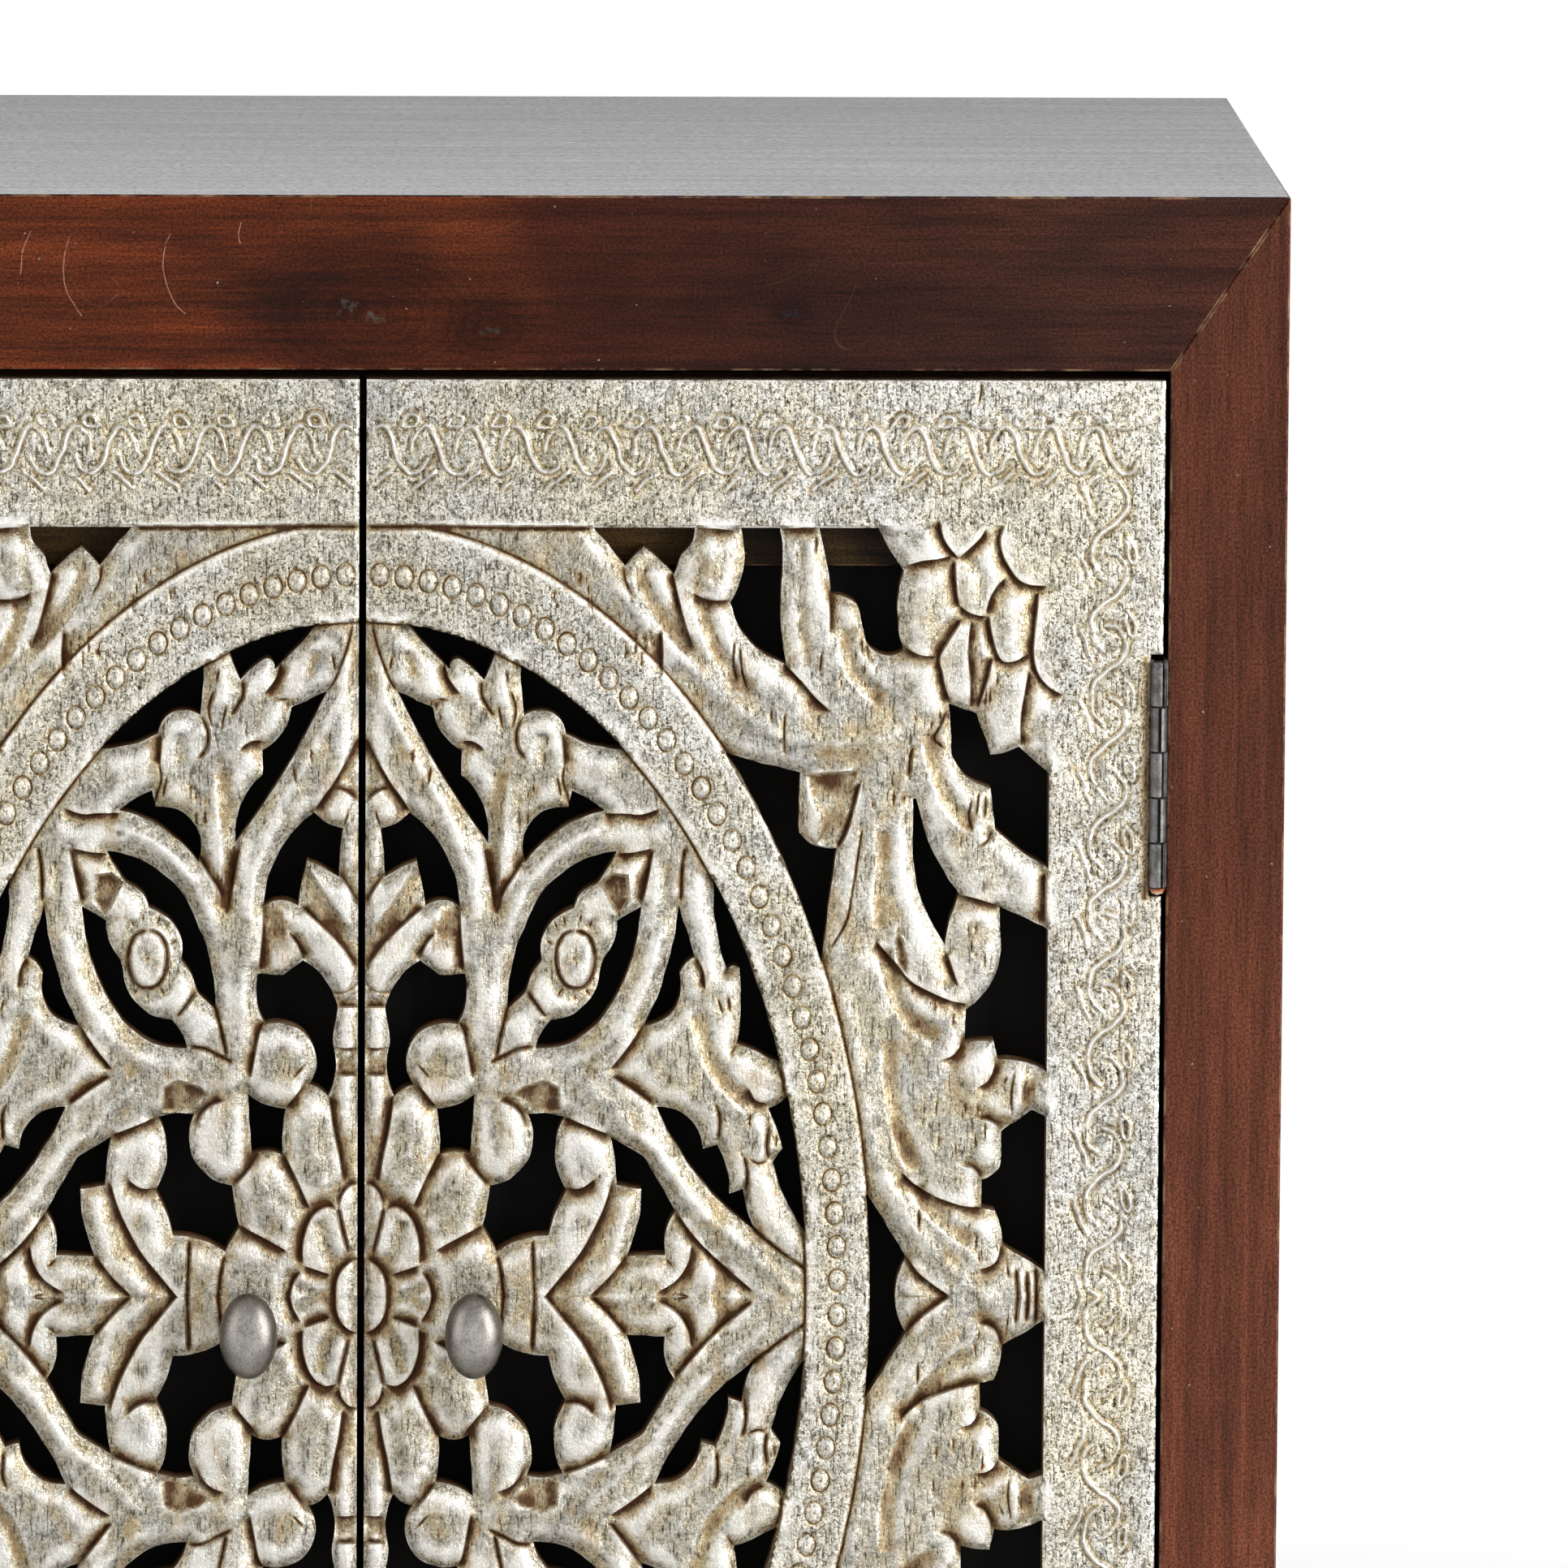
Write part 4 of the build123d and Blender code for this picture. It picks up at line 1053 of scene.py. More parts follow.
def finish_of(name, **plain):
    """A new material: its tree, its shader and its Object coordinates."""
    material = bpy.data.materials.new(name)
    material.use_nodes = True
    tree = material.node_tree
    shader = tree.nodes["Principled BSDF"]
    for label, value in plain.items():
        shader.inputs[label.replace("_", " ")].default_value = value
    place = add(tree, "ShaderNodeTexCoord").outputs["Object"]
    return material, tree, shader, place


def wire(tree, node, **sockets):
    """Links from sockets to the inputs of a node."""
    for label, socket in sockets.items():
        tree.links.new(socket, node.inputs[label.replace("_", " ")])


def bumped(tree, shader, height, distance, strength=1.0):
    """Small relief on a shader."""
    bump = add(tree, "ShaderNodeBump", {"Height": height, "Distance": distance,
                                        "Strength": strength})
    wire(tree, shader, Normal=bump.outputs[0])


def dress(piece, material):
    """One finish on a piece."""
    piece.data.materials.clear()
    piece.data.materials.append(material)


print("helpers for finishes are ready")

# %% [markdown]
# Silver leaf is laid over brown clay. It crinkles, so flats sparkle in fine specks. Brown wax
# stays in the cuts, and where hands and cloths rub, the crests turn bright. Painted shade goes
# in with the wax, and a painted highlight with the rubbing on the bold vine. The carved mesh
# carries "wax_and_shade" and "wear" for that, which noise breaks up here, and "carved", which
# softens the specks off the flats.

# %% Silver leaf
leaf_group, into, out = new_group(
    "leaf, wax and painted shade", [("Place", "Vector"), ("Patina", "Float"), ("Wear", "Float"),
                     ("Carved", "Float")],
    [("Colour", "Color"), ("Metal", "Float"), ("Roughness", "Float"), ("Height", "Float")])
tree, place = leaf_group, into.outputs["Place"]
crinkle = cloud(tree, place, 780, 4, 0.6, 1.0)
ripples = cloud(tree, place, 210, 3, 0.6, 0.8)
strokes = cloud(tree, stretched(tree, place, (1, 1, 0.16)), 900, 3, 0.6)
dapple = cloud(tree, place, 75, 4, 0.6, 0.4)
clouds = cloud(tree, place, 14, 4, 0.6, 0.5)
tone = blend(tree, "MIX", ramp(tree, clouds, (0.38, 0.0), (0.62, 1.0)),
             (0.96, 0.955, 0.925), (0.97, 0.925, 0.80))
tone = blend(tree, "MIX", ramp(tree, dapple, (0.5, 0.0), (0.75, 0.5)), tone,
             (0.87, 0.76, 0.54))
specks = ramp(tree, crinkle, (0.36, (0.14, 0.125, 0.09)), (0.44, (0.42, 0.395, 0.33)),
              (0.5, (0.74, 0.735, 0.7)), (0.57, 0.93), (0.63, 1.0))
specks = blend(tree, "MIX", times(tree, into.outputs["Carved"], 0.5), specks,
               (0.45, 0.435, 0.395))
tone = blend(tree, "MULTIPLY", 1.0, tone, specks)
tone = shaded(tree, 0.7, tone, ripples, (0.34, 0.4), (0.5, 0.85), (0.6, 1.0))
tone = shaded(tree, 1.0, tone, cloud(tree, place, 34, 3), (0.35, 0.82), (0.62, 1.0))
# painted shade: the leaf is darker near the joint between the doors and lighter towards their
# sides
off_seam = sums(tree, "ABSOLUTE", axes(tree, place)[0])
tone = shaded(tree, 1.0, tone, off_seam, (0.04, 0.84), (0.29, 1.02))
waxed_and_shaded = times(tree, into.outputs["Patina"], 3.0, True)
tone = blend(tree, "MULTIPLY", waxed_and_shaded, tone, (1.0, 0.90, 0.70))
tone = shaded(tree, 0.85, tone, strokes, (0.36, (0.16, 0.12, 0.08)), (0.43, 0.85), (0.5, 1.0))
tone = blend(tree, "MIX", times(tree, into.outputs["Wear"], 0.9, True), tone,
             (0.93, 0.91, 0.86))
spread = plus(tree, plus(tree, swing(tree, strokes, 1.5), into.outputs["Patina"]),
              swing(tree, dapple, 0.9))
# the wax mix also lays painted shade where the carved mesh is darkened
wax = ramp(tree, spread, (0.3, 0.0), (0.5, 0.5), (0.9, 1.0))
wax_and_shade_tone = blend(tree, "MIX", ramp(tree, spread, (0.45, 0.0), (0.85, 1.0)),
                 (0.40, 0.245, 0.095), (0.09, 0.035, 0.01))
wax_and_shade_tone = shaded(tree, 1.0, wax_and_shade_tone, strokes, (0.36, 0.3), (0.6, 1.0))
height = plus(tree, plus(tree, crinkle, times(tree, strokes, 0.45)), times(tree, ripples, 1.2))
wire(tree, out, Colour=blend(tree, "MIX", wax, tone, wax_and_shade_tone),
     Metal=sums(tree, "MULTIPLY_ADD", wax, -0.72, 0.74),
     Roughness=sums(tree, "MULTIPLY_ADD", wax, 0.3, 0.31), Height=height)

silver_leaf, tree, shader, place = finish_of("silver leaf over brown clay",
                                             Specular_IOR_Level=0.2)
leaf = use(tree, leaf_group, Place=place, Patina=painted(tree, "wax_and_shade"),
           Wear=painted(tree, "wear"), Carved=painted(tree, "carved"))
wire(tree, shader, Base_Color=leaf["Colour"], Metallic=leaf["Metal"],
     Roughness=leaf["Roughness"])
bumped(tree, shader, leaf["Height"], 0.0004, 0.9)
for piece in carved.values():
    dress(piece, silver_leaf)
print("silver leaf on", len(carved), "pieces")

# %% [markdown]
# The case is hardwood stained red-brown under a thin lacquer. Grain runs along each board, so
# the coordinates are turned for the upright ones, and shifted, so that no two boards match.
# The lacquer mirrors a bright room at a low angle, which makes the top look grey.

# %% Stained wood
grain_group, into, out = new_group(
    "grain along X", [("Place", "Vector"), ("Light", "Color"), ("Dark", "Color"),
                      ("Blotchy", "Float")],
    [("Colour", "Color"), ("Streaks", "Float"), ("Pores", "Float"), ("Patches", "Float")])
tree, place = grain_group, into.outputs["Place"]
figure = add(tree, "ShaderNodeTexWave",
             {"Vector": stretched(tree, place, (0.55, 1, 1)), "Scale": 9, "Distortion": 7.5,
              "Detail": 3, "Detail Scale": 1.3, "Detail Roughness": 0.6},
             wave_type="BANDS", bands_direction="DIAGONAL").outputs["Fac"]
streaks = cloud(tree, stretched(tree, place, (5, 150, 150)), 1, 5, 0.65, 0.3)
pores = cloud(tree, stretched(tree, place, (55, 1300, 1300)), 1, 2, 0.5)
patches = cloud(tree, stretched(tree, place, (5, 11, 11)), 1, 3, 0.6, 0.8)
blotches = cloud(tree, stretched(tree, place, (9, 34, 34)), 1, 4, 0.6, 0.6)
uneven = plus(tree, swing(tree, patches, 1.8), swing(tree, blotches, 0.7))
mixture = plus(tree, plus(tree, swing(tree, figure, 0.05), swing(tree, streaks, 0.62)),
               times(tree, uneven, into.outputs["Blotchy"]))
amount = ramp(tree, plus(tree, mixture, 0.5), (0.25, 1.0), (0.75, 0.0))
tone = blend(tree, "MIX", amount, into.outputs["Light"], into.outputs["Dark"])
tone = shaded(tree, 0.45, tone, pores, (0.36, 0.3), (0.5, 1.0))
tone = shaded(tree, 0.35, tone, streaks, (0.3, 0.35), (0.62, 1.0))
grit = cloud(tree, stretched(tree, place, (850, 1000, 1000)), 1, 3, 0.6)
tone = shaded(tree, 1.0, tone, grit, (0.36, 0.36), (0.5, 0.74), (0.64, 1.12))
wire(tree, out, Colour=tone, Streaks=streaks, Pores=pores, Patches=patches)

scratch_group, into, out = new_group(
    "fine scratches", [("Place", "Vector"), ("Width", "Float")], [("Mask", "Float")])
tree, place = scratch_group, into.outputs["Place"]
course = cloud(tree, place, 9, 1.5, 0.4, 1.0)
band = sums(tree, "ABSOLUTE", sums(tree, "SUBTRACT", course, 0.5))
line = sums(tree, "LESS_THAN", band, into.outputs["Width"])
where = ramp(tree, cloud(tree, place, 23, 3, 0.6), (0.56, 0.0), (0.62, 1.0))
wire(tree, out, Mask=times(tree, line, where))

arc_group, into, out = new_group(
    "curved scratch", [("Place", "Vector"), ("Across", "Float"), ("Up", "Float"),
                       ("Radius", "Float"), ("Low", "Float"), ("High", "Float")],
    [("Mask", "Float")])
tree = arc_group
level, _, rise = axes(tree, into.outputs["Place"])
swerve = times(tree, cloud(tree, into.outputs["Place"], 120, 2), 0.0022)
squares = [sums(tree, "POWER", sums(tree, "SUBTRACT", a, into.outputs[b]), 2.0)
           for a, b in ((level, "Across"), (rise, "Up"))]
span = plus(tree, sums(tree, "SQRT", plus(tree, *squares)), swerve)
off_arc = sums(tree, "ABSOLUTE", sums(tree, "SUBTRACT", span, into.outputs["Radius"]))
line = ramp(tree, times(tree, off_arc, 1000), (0.1, 1.0), (0.3, 0.0))
reach = times(tree, sums(tree, "GREATER_THAN", rise, into.outputs["Low"]),
              sums(tree, "LESS_THAN", rise, into.outputs["High"]))
left_half = sums(tree, "LESS_THAN", level, into.outputs["Across"])
broken = ramp(tree, cloud(tree, into.outputs["Place"], 300, 3, 0.7), (0.38, 0.25), (0.55, 1.0))
wire(tree, out, Mask=times(tree, times(tree, line, reach), times(tree, left_half, broken)))

GRAIN = {"x": (0, 0, 0), "z": (0, math.pi / 2, 0), "y": (0, 0, -math.pi / 2)}


def stained(name, grain, shift, light, dark, worn_tone, roughness, blotchy=0.15, knots=(),
            shades=(), arcs=()):
    """Stained and lacquered wood with its grain along x, y or z, and its knots and shades."""
    material, tree, shader, place = finish_of(name, IOR=1.2, Coat_Roughness=0.16,
                                             Specular_Tint=(0.92, 0.96, 1, 1))
    turned = add(tree, "ShaderNodeMapping", {"Vector": place, "Rotation": GRAIN[grain],
                                             "Location": (shift, shift * 0.7, shift * 0.3)})
    wood = use(tree, grain_group, Place=turned.outputs[0], Light=(*light, 1), Dark=(*dark, 1),
               Blotchy=blotchy)
    colour = wood["Colour"]
    for spot, reach in knots:
        apart = add(tree, "ShaderNodeVectorMath",
                    {0: stretched(tree, place, (0.62, 1, 1),
                                  (-0.62 * spot[0], -spot[1], -spot[2]))},
                    operation="LENGTH").outputs["Value"]
        ripple = plus(tree, apart, times(tree, wood["Streaks"], 0.007))
        rings = sums(tree, "SINE", times(tree, ripple, 1700))
        close = ramp(tree, sums(tree, "DIVIDE", ripple, reach), (0.1, 0.75), (0.6, 0.6),
                     (1.0, 0.0))
        colour = blend(tree, "MULTIPLY", close, colour, (0.25, 0.24, 0.28))
        colour = blend(tree, "MULTIPLY", times(tree, close, times(tree, rings, 0.5)), colour,
                       (0.35, 0.3, 0.28))
        eye = ramp(tree, plus(tree, ripple, times(tree, cloud(tree, place, 320, 3), 0.012)),
                   (0.0104, 1.0), (0.0112, 0.0))
        colour = blend(tree, "MIX", times(tree, eye, 0.95), colour, (0.085, 0.08, 0.085))
    if shades:
        axis, offset = (2, 0.0) if grain == "z" else (0, 0.5)
        along = plus(tree, axes(tree, place)[axis], swing(tree, wood["Patches"], 0.12))
        colour = shaded(tree, 1.0, colour, plus(tree, along, offset), *shades)
    for across, up, radius, low, high in arcs:
        arc = use(tree, arc_group, Place=place, Across=across, Up=up, Radius=radius, Low=low,
                  High=high)["Mask"]
        colour = blend(tree, "MIX", times(tree, arc, 0.75), colour, (0.42, 0.25, 0.18))
    scratch = use(tree, scratch_group, Place=place, Width=0.0009)["Mask"]
    colour = blend(tree, "MIX", times(tree, scratch, 0.12), colour, worn_tone)
    specks = ramp(tree, cloud(tree, place, 380, 1.0), (0.775, 0.0), (0.81, 0.6))
    colour = blend(tree, "MIX", specks, colour, (0.42, 0.38, 0.36))
    patchy = ramp(tree, cloud(tree, place, 60, 4, 0.7), (0.46, 0.0), (0.64, 0.8))
    colour = blend(tree, "MIX", times(tree, painted(tree, "wear"), patchy), colour, worn_tone)
    low_angle = add(tree, "ShaderNodeLayerWeight", {"Blend": 0.5}).outputs["Facing"]
    uneven = times(tree, ramp(tree, wood["Streaks"], (0.3, 0.6), (0.7, 1.0)),
                   ramp(tree, cloud(tree, stretched(tree, place, (400, 900, 900)), 1, 3),
                        (0.38, 0.5), (0.54, 1.0)))
    to_the_back = sums(tree, "MULTIPLY_ADD", axes(tree, place)[1], 2.0, 0.5)
    uneven = times(tree, uneven, ramp(tree, to_the_back, (0.1, 1.0), (0.9, 0.6)))
    sheen = times(tree, ramp(tree, low_angle, (0.75, 0.0), (0.85, 1.0)), uneven)
    wire(tree, shader, Base_Color=colour, Coat_Weight=sheen,
         Roughness=sums(tree, "MULTIPLY_ADD", wood["Streaks"], 0.14, roughness))
    bumped(tree, shader, plus(tree, times(tree, wood["Pores"], 0.5), wood["Streaks"]),
           0.00028, 0.5)
    return material


RED = (0.31, 0.066, 0.026), (0.055, 0.0145, 0.009), (0.30, 0.18, 0.10)
BROWN = (0.32, 0.098, 0.05), (0.075, 0.025, 0.0155), (0.30, 0.18, 0.10)
BLACKISH = (0.058, 0.04, 0.045), (0.026, 0.018, 0.022), (0.30, 0.18, 0.10)
OILED = (0.19, 0.075, 0.038), (0.06, 0.022, 0.014), (0.3, 0.2, 0.14)
WASHED = (0.16, 0.07, 0.04), (0.055, 0.022, 0.015), (0.3, 0.2, 0.13)
# streaky wood of the door backs, its tones darkened as painted shade behind the pierced boards
STREAKY_IN_SHADE = (0.16, 0.09, 0.03), (0.012, 0.008, 0.005), (0.28, 0.17, 0.1)
knots = [((x, front, z), reach) for x, z, reach in (
    (0.0048, 0.872, 0.045), (-0.007, 0.8755, 0.01), (0.0523, 0.867, 0.02),
    (0.176, 0.874, 0.012))]
arcs = [(-0.093, 0.892, 0.031, 0.872, 0.905), (-0.108, 0.891, 0.033, 0.889, 0.907),
        (-0.055, 0.893, 0.028, 0.873, 0.906), (-0.028, 0.905, 0.024, 0.902, 0.911)]
rail_shades = [(0.2, (0.8, 0.85, 0.7)), (0.34, (0.95, 0.95, 0.7)), (0.44, (1.1, 1.0, 0.72)),
               (0.53, (0.92, 0.92, 0.66)), (0.58, (0.27, 0.28, 0.32)),
               (0.68, (0.21, 0.27, 0.37)), (0.8, (0.32, 0.5, 0.72)), (0.9, (0.4, 0.52, 0.7))]
stile_shades = [(0.32, 0.94), (0.5, 0.84), (0.58, 0.66), (0.72, 0.6), (0.8, 0.5),
                (0.88, (0.6, 0.57, 0.57))]
stile = {"blotchy": 0.2, "shades": stile_shades}
BOARDS = {  # title, grain, shift, tones, roughness, more
    "top_board": ("top", "x", 0.3, BLACKISH, 0.26, {}),
    "bottom_board": ("bottom", "x", 1.7, BROWN, 0.36, {}),
    "face_frame_top_rail": ("top rail", "x", 2.9, RED, 0.34, {
        "blotchy": 0.5, "knots": knots, "shades": rail_shades, "arcs": arcs}),
    "face_frame_bottom_rail": ("bottom rail", "x", 4.1, RED, 0.34, {}),
    "face_frame_right_stile": ("right stile", "z", 5.3, BROWN, 0.36, stile),
    "face_frame_left_stile": ("left stile", "z", 6.7, BROWN, 0.36, stile),
    "right_side_board": ("right side", "z", 8.1, BROWN, 0.34, {}),
    "left_side_board": ("left side", "z", 9.3, BROWN, 0.34, {}),
}
woods = {node: stained(f"stained wood, {title}", grain, shift, *tones, rough, **more)
         for node, (title, grain, shift, tones, rough, more) in BOARDS.items()}
woods["top_board"].node_tree.nodes["Principled BSDF"].inputs[
    "Specular IOR Level"].default_value = 0.1
inner_x = stained("oiled wood inside, level", "x", 11.0, *OILED, 0.5)
inner_y = stained("oiled wood inside, cleats", "y", 12.0, *OILED, 0.5)
back_ply = stained("back panel", "z", 13.0, *WASHED, 0.55)
door_back_x = stained("wood of the door backs, level", "x", 14.0, *STREAKY_IN_SHADE, 0.45, 0.9)
door_back_z = stained("wood of the door backs, upright", "z", 15.0, *STREAKY_IN_SHADE, 0.45, 0.9)
black_board, tree, shader, place = finish_of("black backing board", Specular_IOR_Level=0.15)
fibre = cloud(tree, stretched(tree, place, (60, 60, 18)), 9, 4, 0.7)
wire(tree, shader, Roughness=ramp(tree, fibre, (0.3, 0.7), (0.7, 0.85)),
     Base_Color=ramp(tree, fibre, (0.35, 0.006), (0.7, (0.014, 0.012, 0.011))))
bumped(tree, shader, fibre, 0.0002, 0.4)
print(len(woods) + 6, "finishes of wood")

# %% [markdown]
# Boards leave the plane with crisp arrises that handling softens. Each visible board is a
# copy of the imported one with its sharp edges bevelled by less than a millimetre, and the
# bevels are marked, so that the finish can be rubbed through there.

# %% Boards with eased edges
def eased(node, body, material, ease=0.9):
    """A copy of a packed board with eased edges, in its place."""
    work = packed_mesh(node)
    bmesh.ops.dissolve_limit(work, angle_limit=0.01, use_dissolve_boundaries=False,
                             verts=work.verts, edges=work.edges, delimit=set())
    rub = work.faces.layers.float.new("wear")
    sharp = [e for e in work.edges if len(e.link_faces) == 2 and e.calc_face_angle(0) > 0.5]
    bevels = bmesh.ops.bevel(work, geom=sharp, offset=ease * MM, offset_type="OFFSET",
                             affect="EDGES", segments=2, profile=0.5, material=-1,
                             clamp_overlap=True)
    for face in bevels["faces"]:
        face[rub] = 1.0
        face.smooth = True
    bmesh.ops.triangulate(work, faces=[f for f in work.faces if len(f.verts) > 4])
    piece = to_object(work, node + "_eased")
    dress(piece, material)
    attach(piece, body)
    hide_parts(node)
    return piece


for node, material in woods.items():
    eased(node, "case", material)
for node in ("top_door_stop_rail", "bottom_door_stop_rail", "shelf"):
    eased(node, "case", inner_x)
eased("shelf_cleats", "case", inner_y)
eased("back_panel", "case", back_ply, 0.4)
for word in SIDES:
    for node, material in (("back_top_rail", door_back_x), ("back_bottom_rail", door_back_x),
                           ("back_hinge_stile", door_back_z),
                           ("back_meeting_batten", door_back_z)):
        eased(f"{word}_door_{node}", f"{word}_door", material, 0.6)
    eased(f"{word}_door_backing_board", f"{word}_door", black_board, 0.3)

# %% [markdown]
# The small metal and plastic pieces keep their imported shape and take a finish here. Cast
# pewter is dull and cloudy and darkens where the mesh carries a "tarnish_and_shade" value,
# which on the knobs is tarnish together with painted shade on their sides. The hinges
# are the same, with rust where the foot of the pin comes out.

# %% Metal and plastic
def cast_metal(name, light, dark, roughness):
    """Dull metal with clouds and fine pits."""
    material, tree, shader, place = finish_of(name, Metallic=0.85)
    clouds = cloud(tree, place, 160, 4, 0.6, 0.4)
    pits = cloud(tree, place, 1300, 3, 0.6)
    colour = ramp(tree, clouds, (0.35, dark), (0.65, light))
    colour = shaded(tree, 0.7, colour, pits, (0.35, 0.4), (0.5, 1.0))
    # darker where the mesh carries tarnish and painted shade
    colour = blend(tree, "MULTIPLY", painted(tree, "tarnish_and_shade"), colour, (0.36, 0.33, 0.3))
    wire(tree, shader, Base_Color=colour,
         Roughness=ramp(tree, clouds, (0.3, roughness - 0.06), (0.7, roughness + 0.12)))
    bumped(tree, shader, pits, 0.0002, 0.5)
    return material


pewter = cast_metal("cast pewter of the knobs", (0.40, 0.38, 0.35), (0.27, 0.257, 0.235), 0.3)
hinge_metal = cast_metal("grey metal of the hinges", (0.24, 0.23, 0.23), (0.085, 0.08, 0.08),
                         0.42)
screw_steel = cast_metal("screw steel", (0.42, 0.40, 0.36), (0.26, 0.24, 0.21), 0.35)


def pin_finish(name, foot):
    """Black iron that is rusty and pale where the foot of the pin comes out."""
    material, tree, shader, place = finish_of(name, Metallic=0.4, Roughness=0.6)
    over = times(tree, sums(tree, "SUBTRACT", axes(tree, place)[2], foot), 1000)
    over = plus(tree, over, times(tree, cloud(tree, place, 400, 3), 2.0))
    tone = ramp(tree, times(tree, over, 0.1), (0.12, (0.75, 0.68, 0.58)),
                (0.3, (0.5, 0.2, 0.08)), (0.42, (0.2, 0.03, 0.01)), (0.6, (0.012, 0.01, 0.01)))
    wire(tree, shader, Base_Color=tone)
    bumped(tree, shader, cloud(tree, place, 1300, 3, 0.6), 0.0002, 0.5)
    return material


def plastic(name, tone, roughness):
    """Moulded plastic with a fine grain."""
    material, tree, shader, place = finish_of(name)
    grain = cloud(tree, place, 1800, 2, 0.5)
    colour = ramp(tree, cloud(tree, place, 60, 3), (0.3, tone),
                  (0.7, tuple(0.8 * c for c in tone)))
    wire(tree, shader, Base_Color=colour,
         Roughness=ramp(tree, grain, (0.3, roughness), (0.7, roughness + 0.1)))
    bumped(tree, shader, grain, 0.0001, 0.3)
    return material


catch_plastic = plastic("brown plastic of the catches", (0.055, 0.03, 0.02), 0.4)
glide_plastic = plastic("black plastic of the glides", (0.03, 0.03, 0.03), 0.45)
ENDINGS = {"knob": pewter, "_leaf": hinge_metal, "screws": screw_steel, "bolt": screw_steel,
           "strike_plate": screw_steel, "door_catches": catch_plastic,
           "floor_glides": glide_plastic, "carved_panel": silver_leaf}
for name, node in nodes.items():
    for ending, finish in ENDINGS.items():
        if name.endswith(ending):
            dress(node, finish)
for place in ("upper", "lower"):
    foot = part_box(f"right_{place}_hinge_pin")[0].z
    rusty = pin_finish(f"rusty pin, {place} hinge", foot)
    for word in SIDES:
        dress(nodes[f"{word}_{place}_hinge_pin"], rusty)
print("metal and plastic pieces are finished")

# %% [markdown]
# A hinge knuckle is sheet metal rolled round the pin, and where the roll ends it leaves a slit.
# Each one is a small section spun almost all the way round, fixed to a copy of the packed
# leaf that has its own knuckles cut off. A ring with a box on it would lose the slit.

# %% Hinges
HINGE_X, HINGE_Y = 327.7, 188.0
KNUCKLE_RADIUS, SHEET, KNUCKLE_PITCH, KNUCKLE_GAP = 3.33, 1.15, 18.9, 0.5
LEAF_FROM = 184.35
SPIN_STEPS, ROLL_EASE = 30, 0.35
KNUCKLES = {  # numbers from the top, middle of the plate, angle of the slit, turn of the roll
    "frame": ((0, 2, 4), 330.75, -1.2, -5.9),
    "door": ((1, 3), 325.1, -1.25, 5.85),
}


def knuckle(work, x, foot, slit_at, turn):
    """A rolled knuckle with a slit, from its foot up."""
    centre = Vector((x, -HINGE_Y, foot)) * MM
    inner, outer, tall = KNUCKLE_RADIUS - SHEET, KNUCKLE_RADIUS, KNUCKLE_PITCH - KNUCKLE_GAP
    section = [(inner, 0), (outer - ROLL_EASE, 0), (outer, ROLL_EASE),
               (outer, tall - ROLL_EASE), (outer - ROLL_EASE, tall), (inner, tall)]
    aim = Vector((math.cos(slit_at), math.sin(slit_at), 0))
    verts = [work.verts.new(centre + (aim * r + Vector((0, 0, z))) * MM) for r, z in section]
    face = work.faces.new(verts)
    bmesh.ops.spin(work, geom=[face] + face.edges[:] + verts, cent=centre, axis=(0, 0, 1),
                   angle=turn, steps=SPIN_STEPS, use_merge=False)


def hinge_leaf(word, place, owner):
    """A hinge leaf with rolled knuckles, for a side, a height and an owner."""
    node = f"{word}_{place}_hinge_{owner}_leaf"
    side = SIDES[word]
    work = packed_mesh(node)
    cut = bmesh.ops.bisect_plane(work, geom=work.verts[:] + work.edges[:] + work.faces[:],
                                 plane_co=(0, -LEAF_FROM * MM, 0), plane_no=(0, 1, 0),
                                 clear_inner=True)
    rim = [g for g in cut["geom_cut"] if isinstance(g, bmesh.types.BMEdge)]
    bmesh.ops.holes_fill(work, edges=rim, sides=0)
    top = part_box(node)[1].z / MM
    numbers, plate_x, slit_at, turn = KNUCKLES[owner]
    for number in numbers:
        foot = top - (number + 1) * KNUCKLE_PITCH + KNUCKLE_GAP / 2
        angle = slit_at if side > 0 else math.pi - slit_at
        knuckle(work, side * HINGE_X, foot, angle, turn * side)
        tongue = bmesh.ops.create_cube(work, size=1)["verts"]
        size = (1.4, HINGE_Y - LEAF_FROM - 1.0, KNUCKLE_PITCH - KNUCKLE_GAP)
        bmesh.ops.scale(work, vec=Vector(size) * MM, verts=tongue)
        spot = (side * plate_x, -(HINGE_Y + LEAF_FROM - 1.2) / 2, foot + size[2] / 2)
        bmesh.ops.translate(work, vec=Vector(spot) * MM, verts=tongue)
    bmesh.ops.holes_fill(work, edges=[e for e in work.edges if e.is_boundary], sides=0)
    bmesh.ops.recalc_face_normals(work, faces=work.faces)
    for face in work.faces:
        face.smooth = True
    keep_creases(work, 0.6)
    open_edges = count_open(work)
    piece = to_object(work, f"{node}_rolled")
    dress(piece, hinge_metal)
    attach(piece, "case" if owner == "frame" else f"{word}_door")
    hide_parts(node)
    return open_edges


open_counts = [hinge_leaf(word, place, owner) for word in SIDES
               for place in ("upper", "lower") for owner in ("frame", "door")]
print(len(open_counts), "hinge leaves, open edges:", sum(open_counts))

# %% [markdown]
# The knobs are oval balls of cast metal on a short neck. Half of the outline is spun round the
# axis of the bolt, and the round knob is then drawn out upwards to its oval. Its sides are
# darkened, partly as tarnish, since hands keep only the front of it bright, and partly as
# painted shade round the edge of the ball.

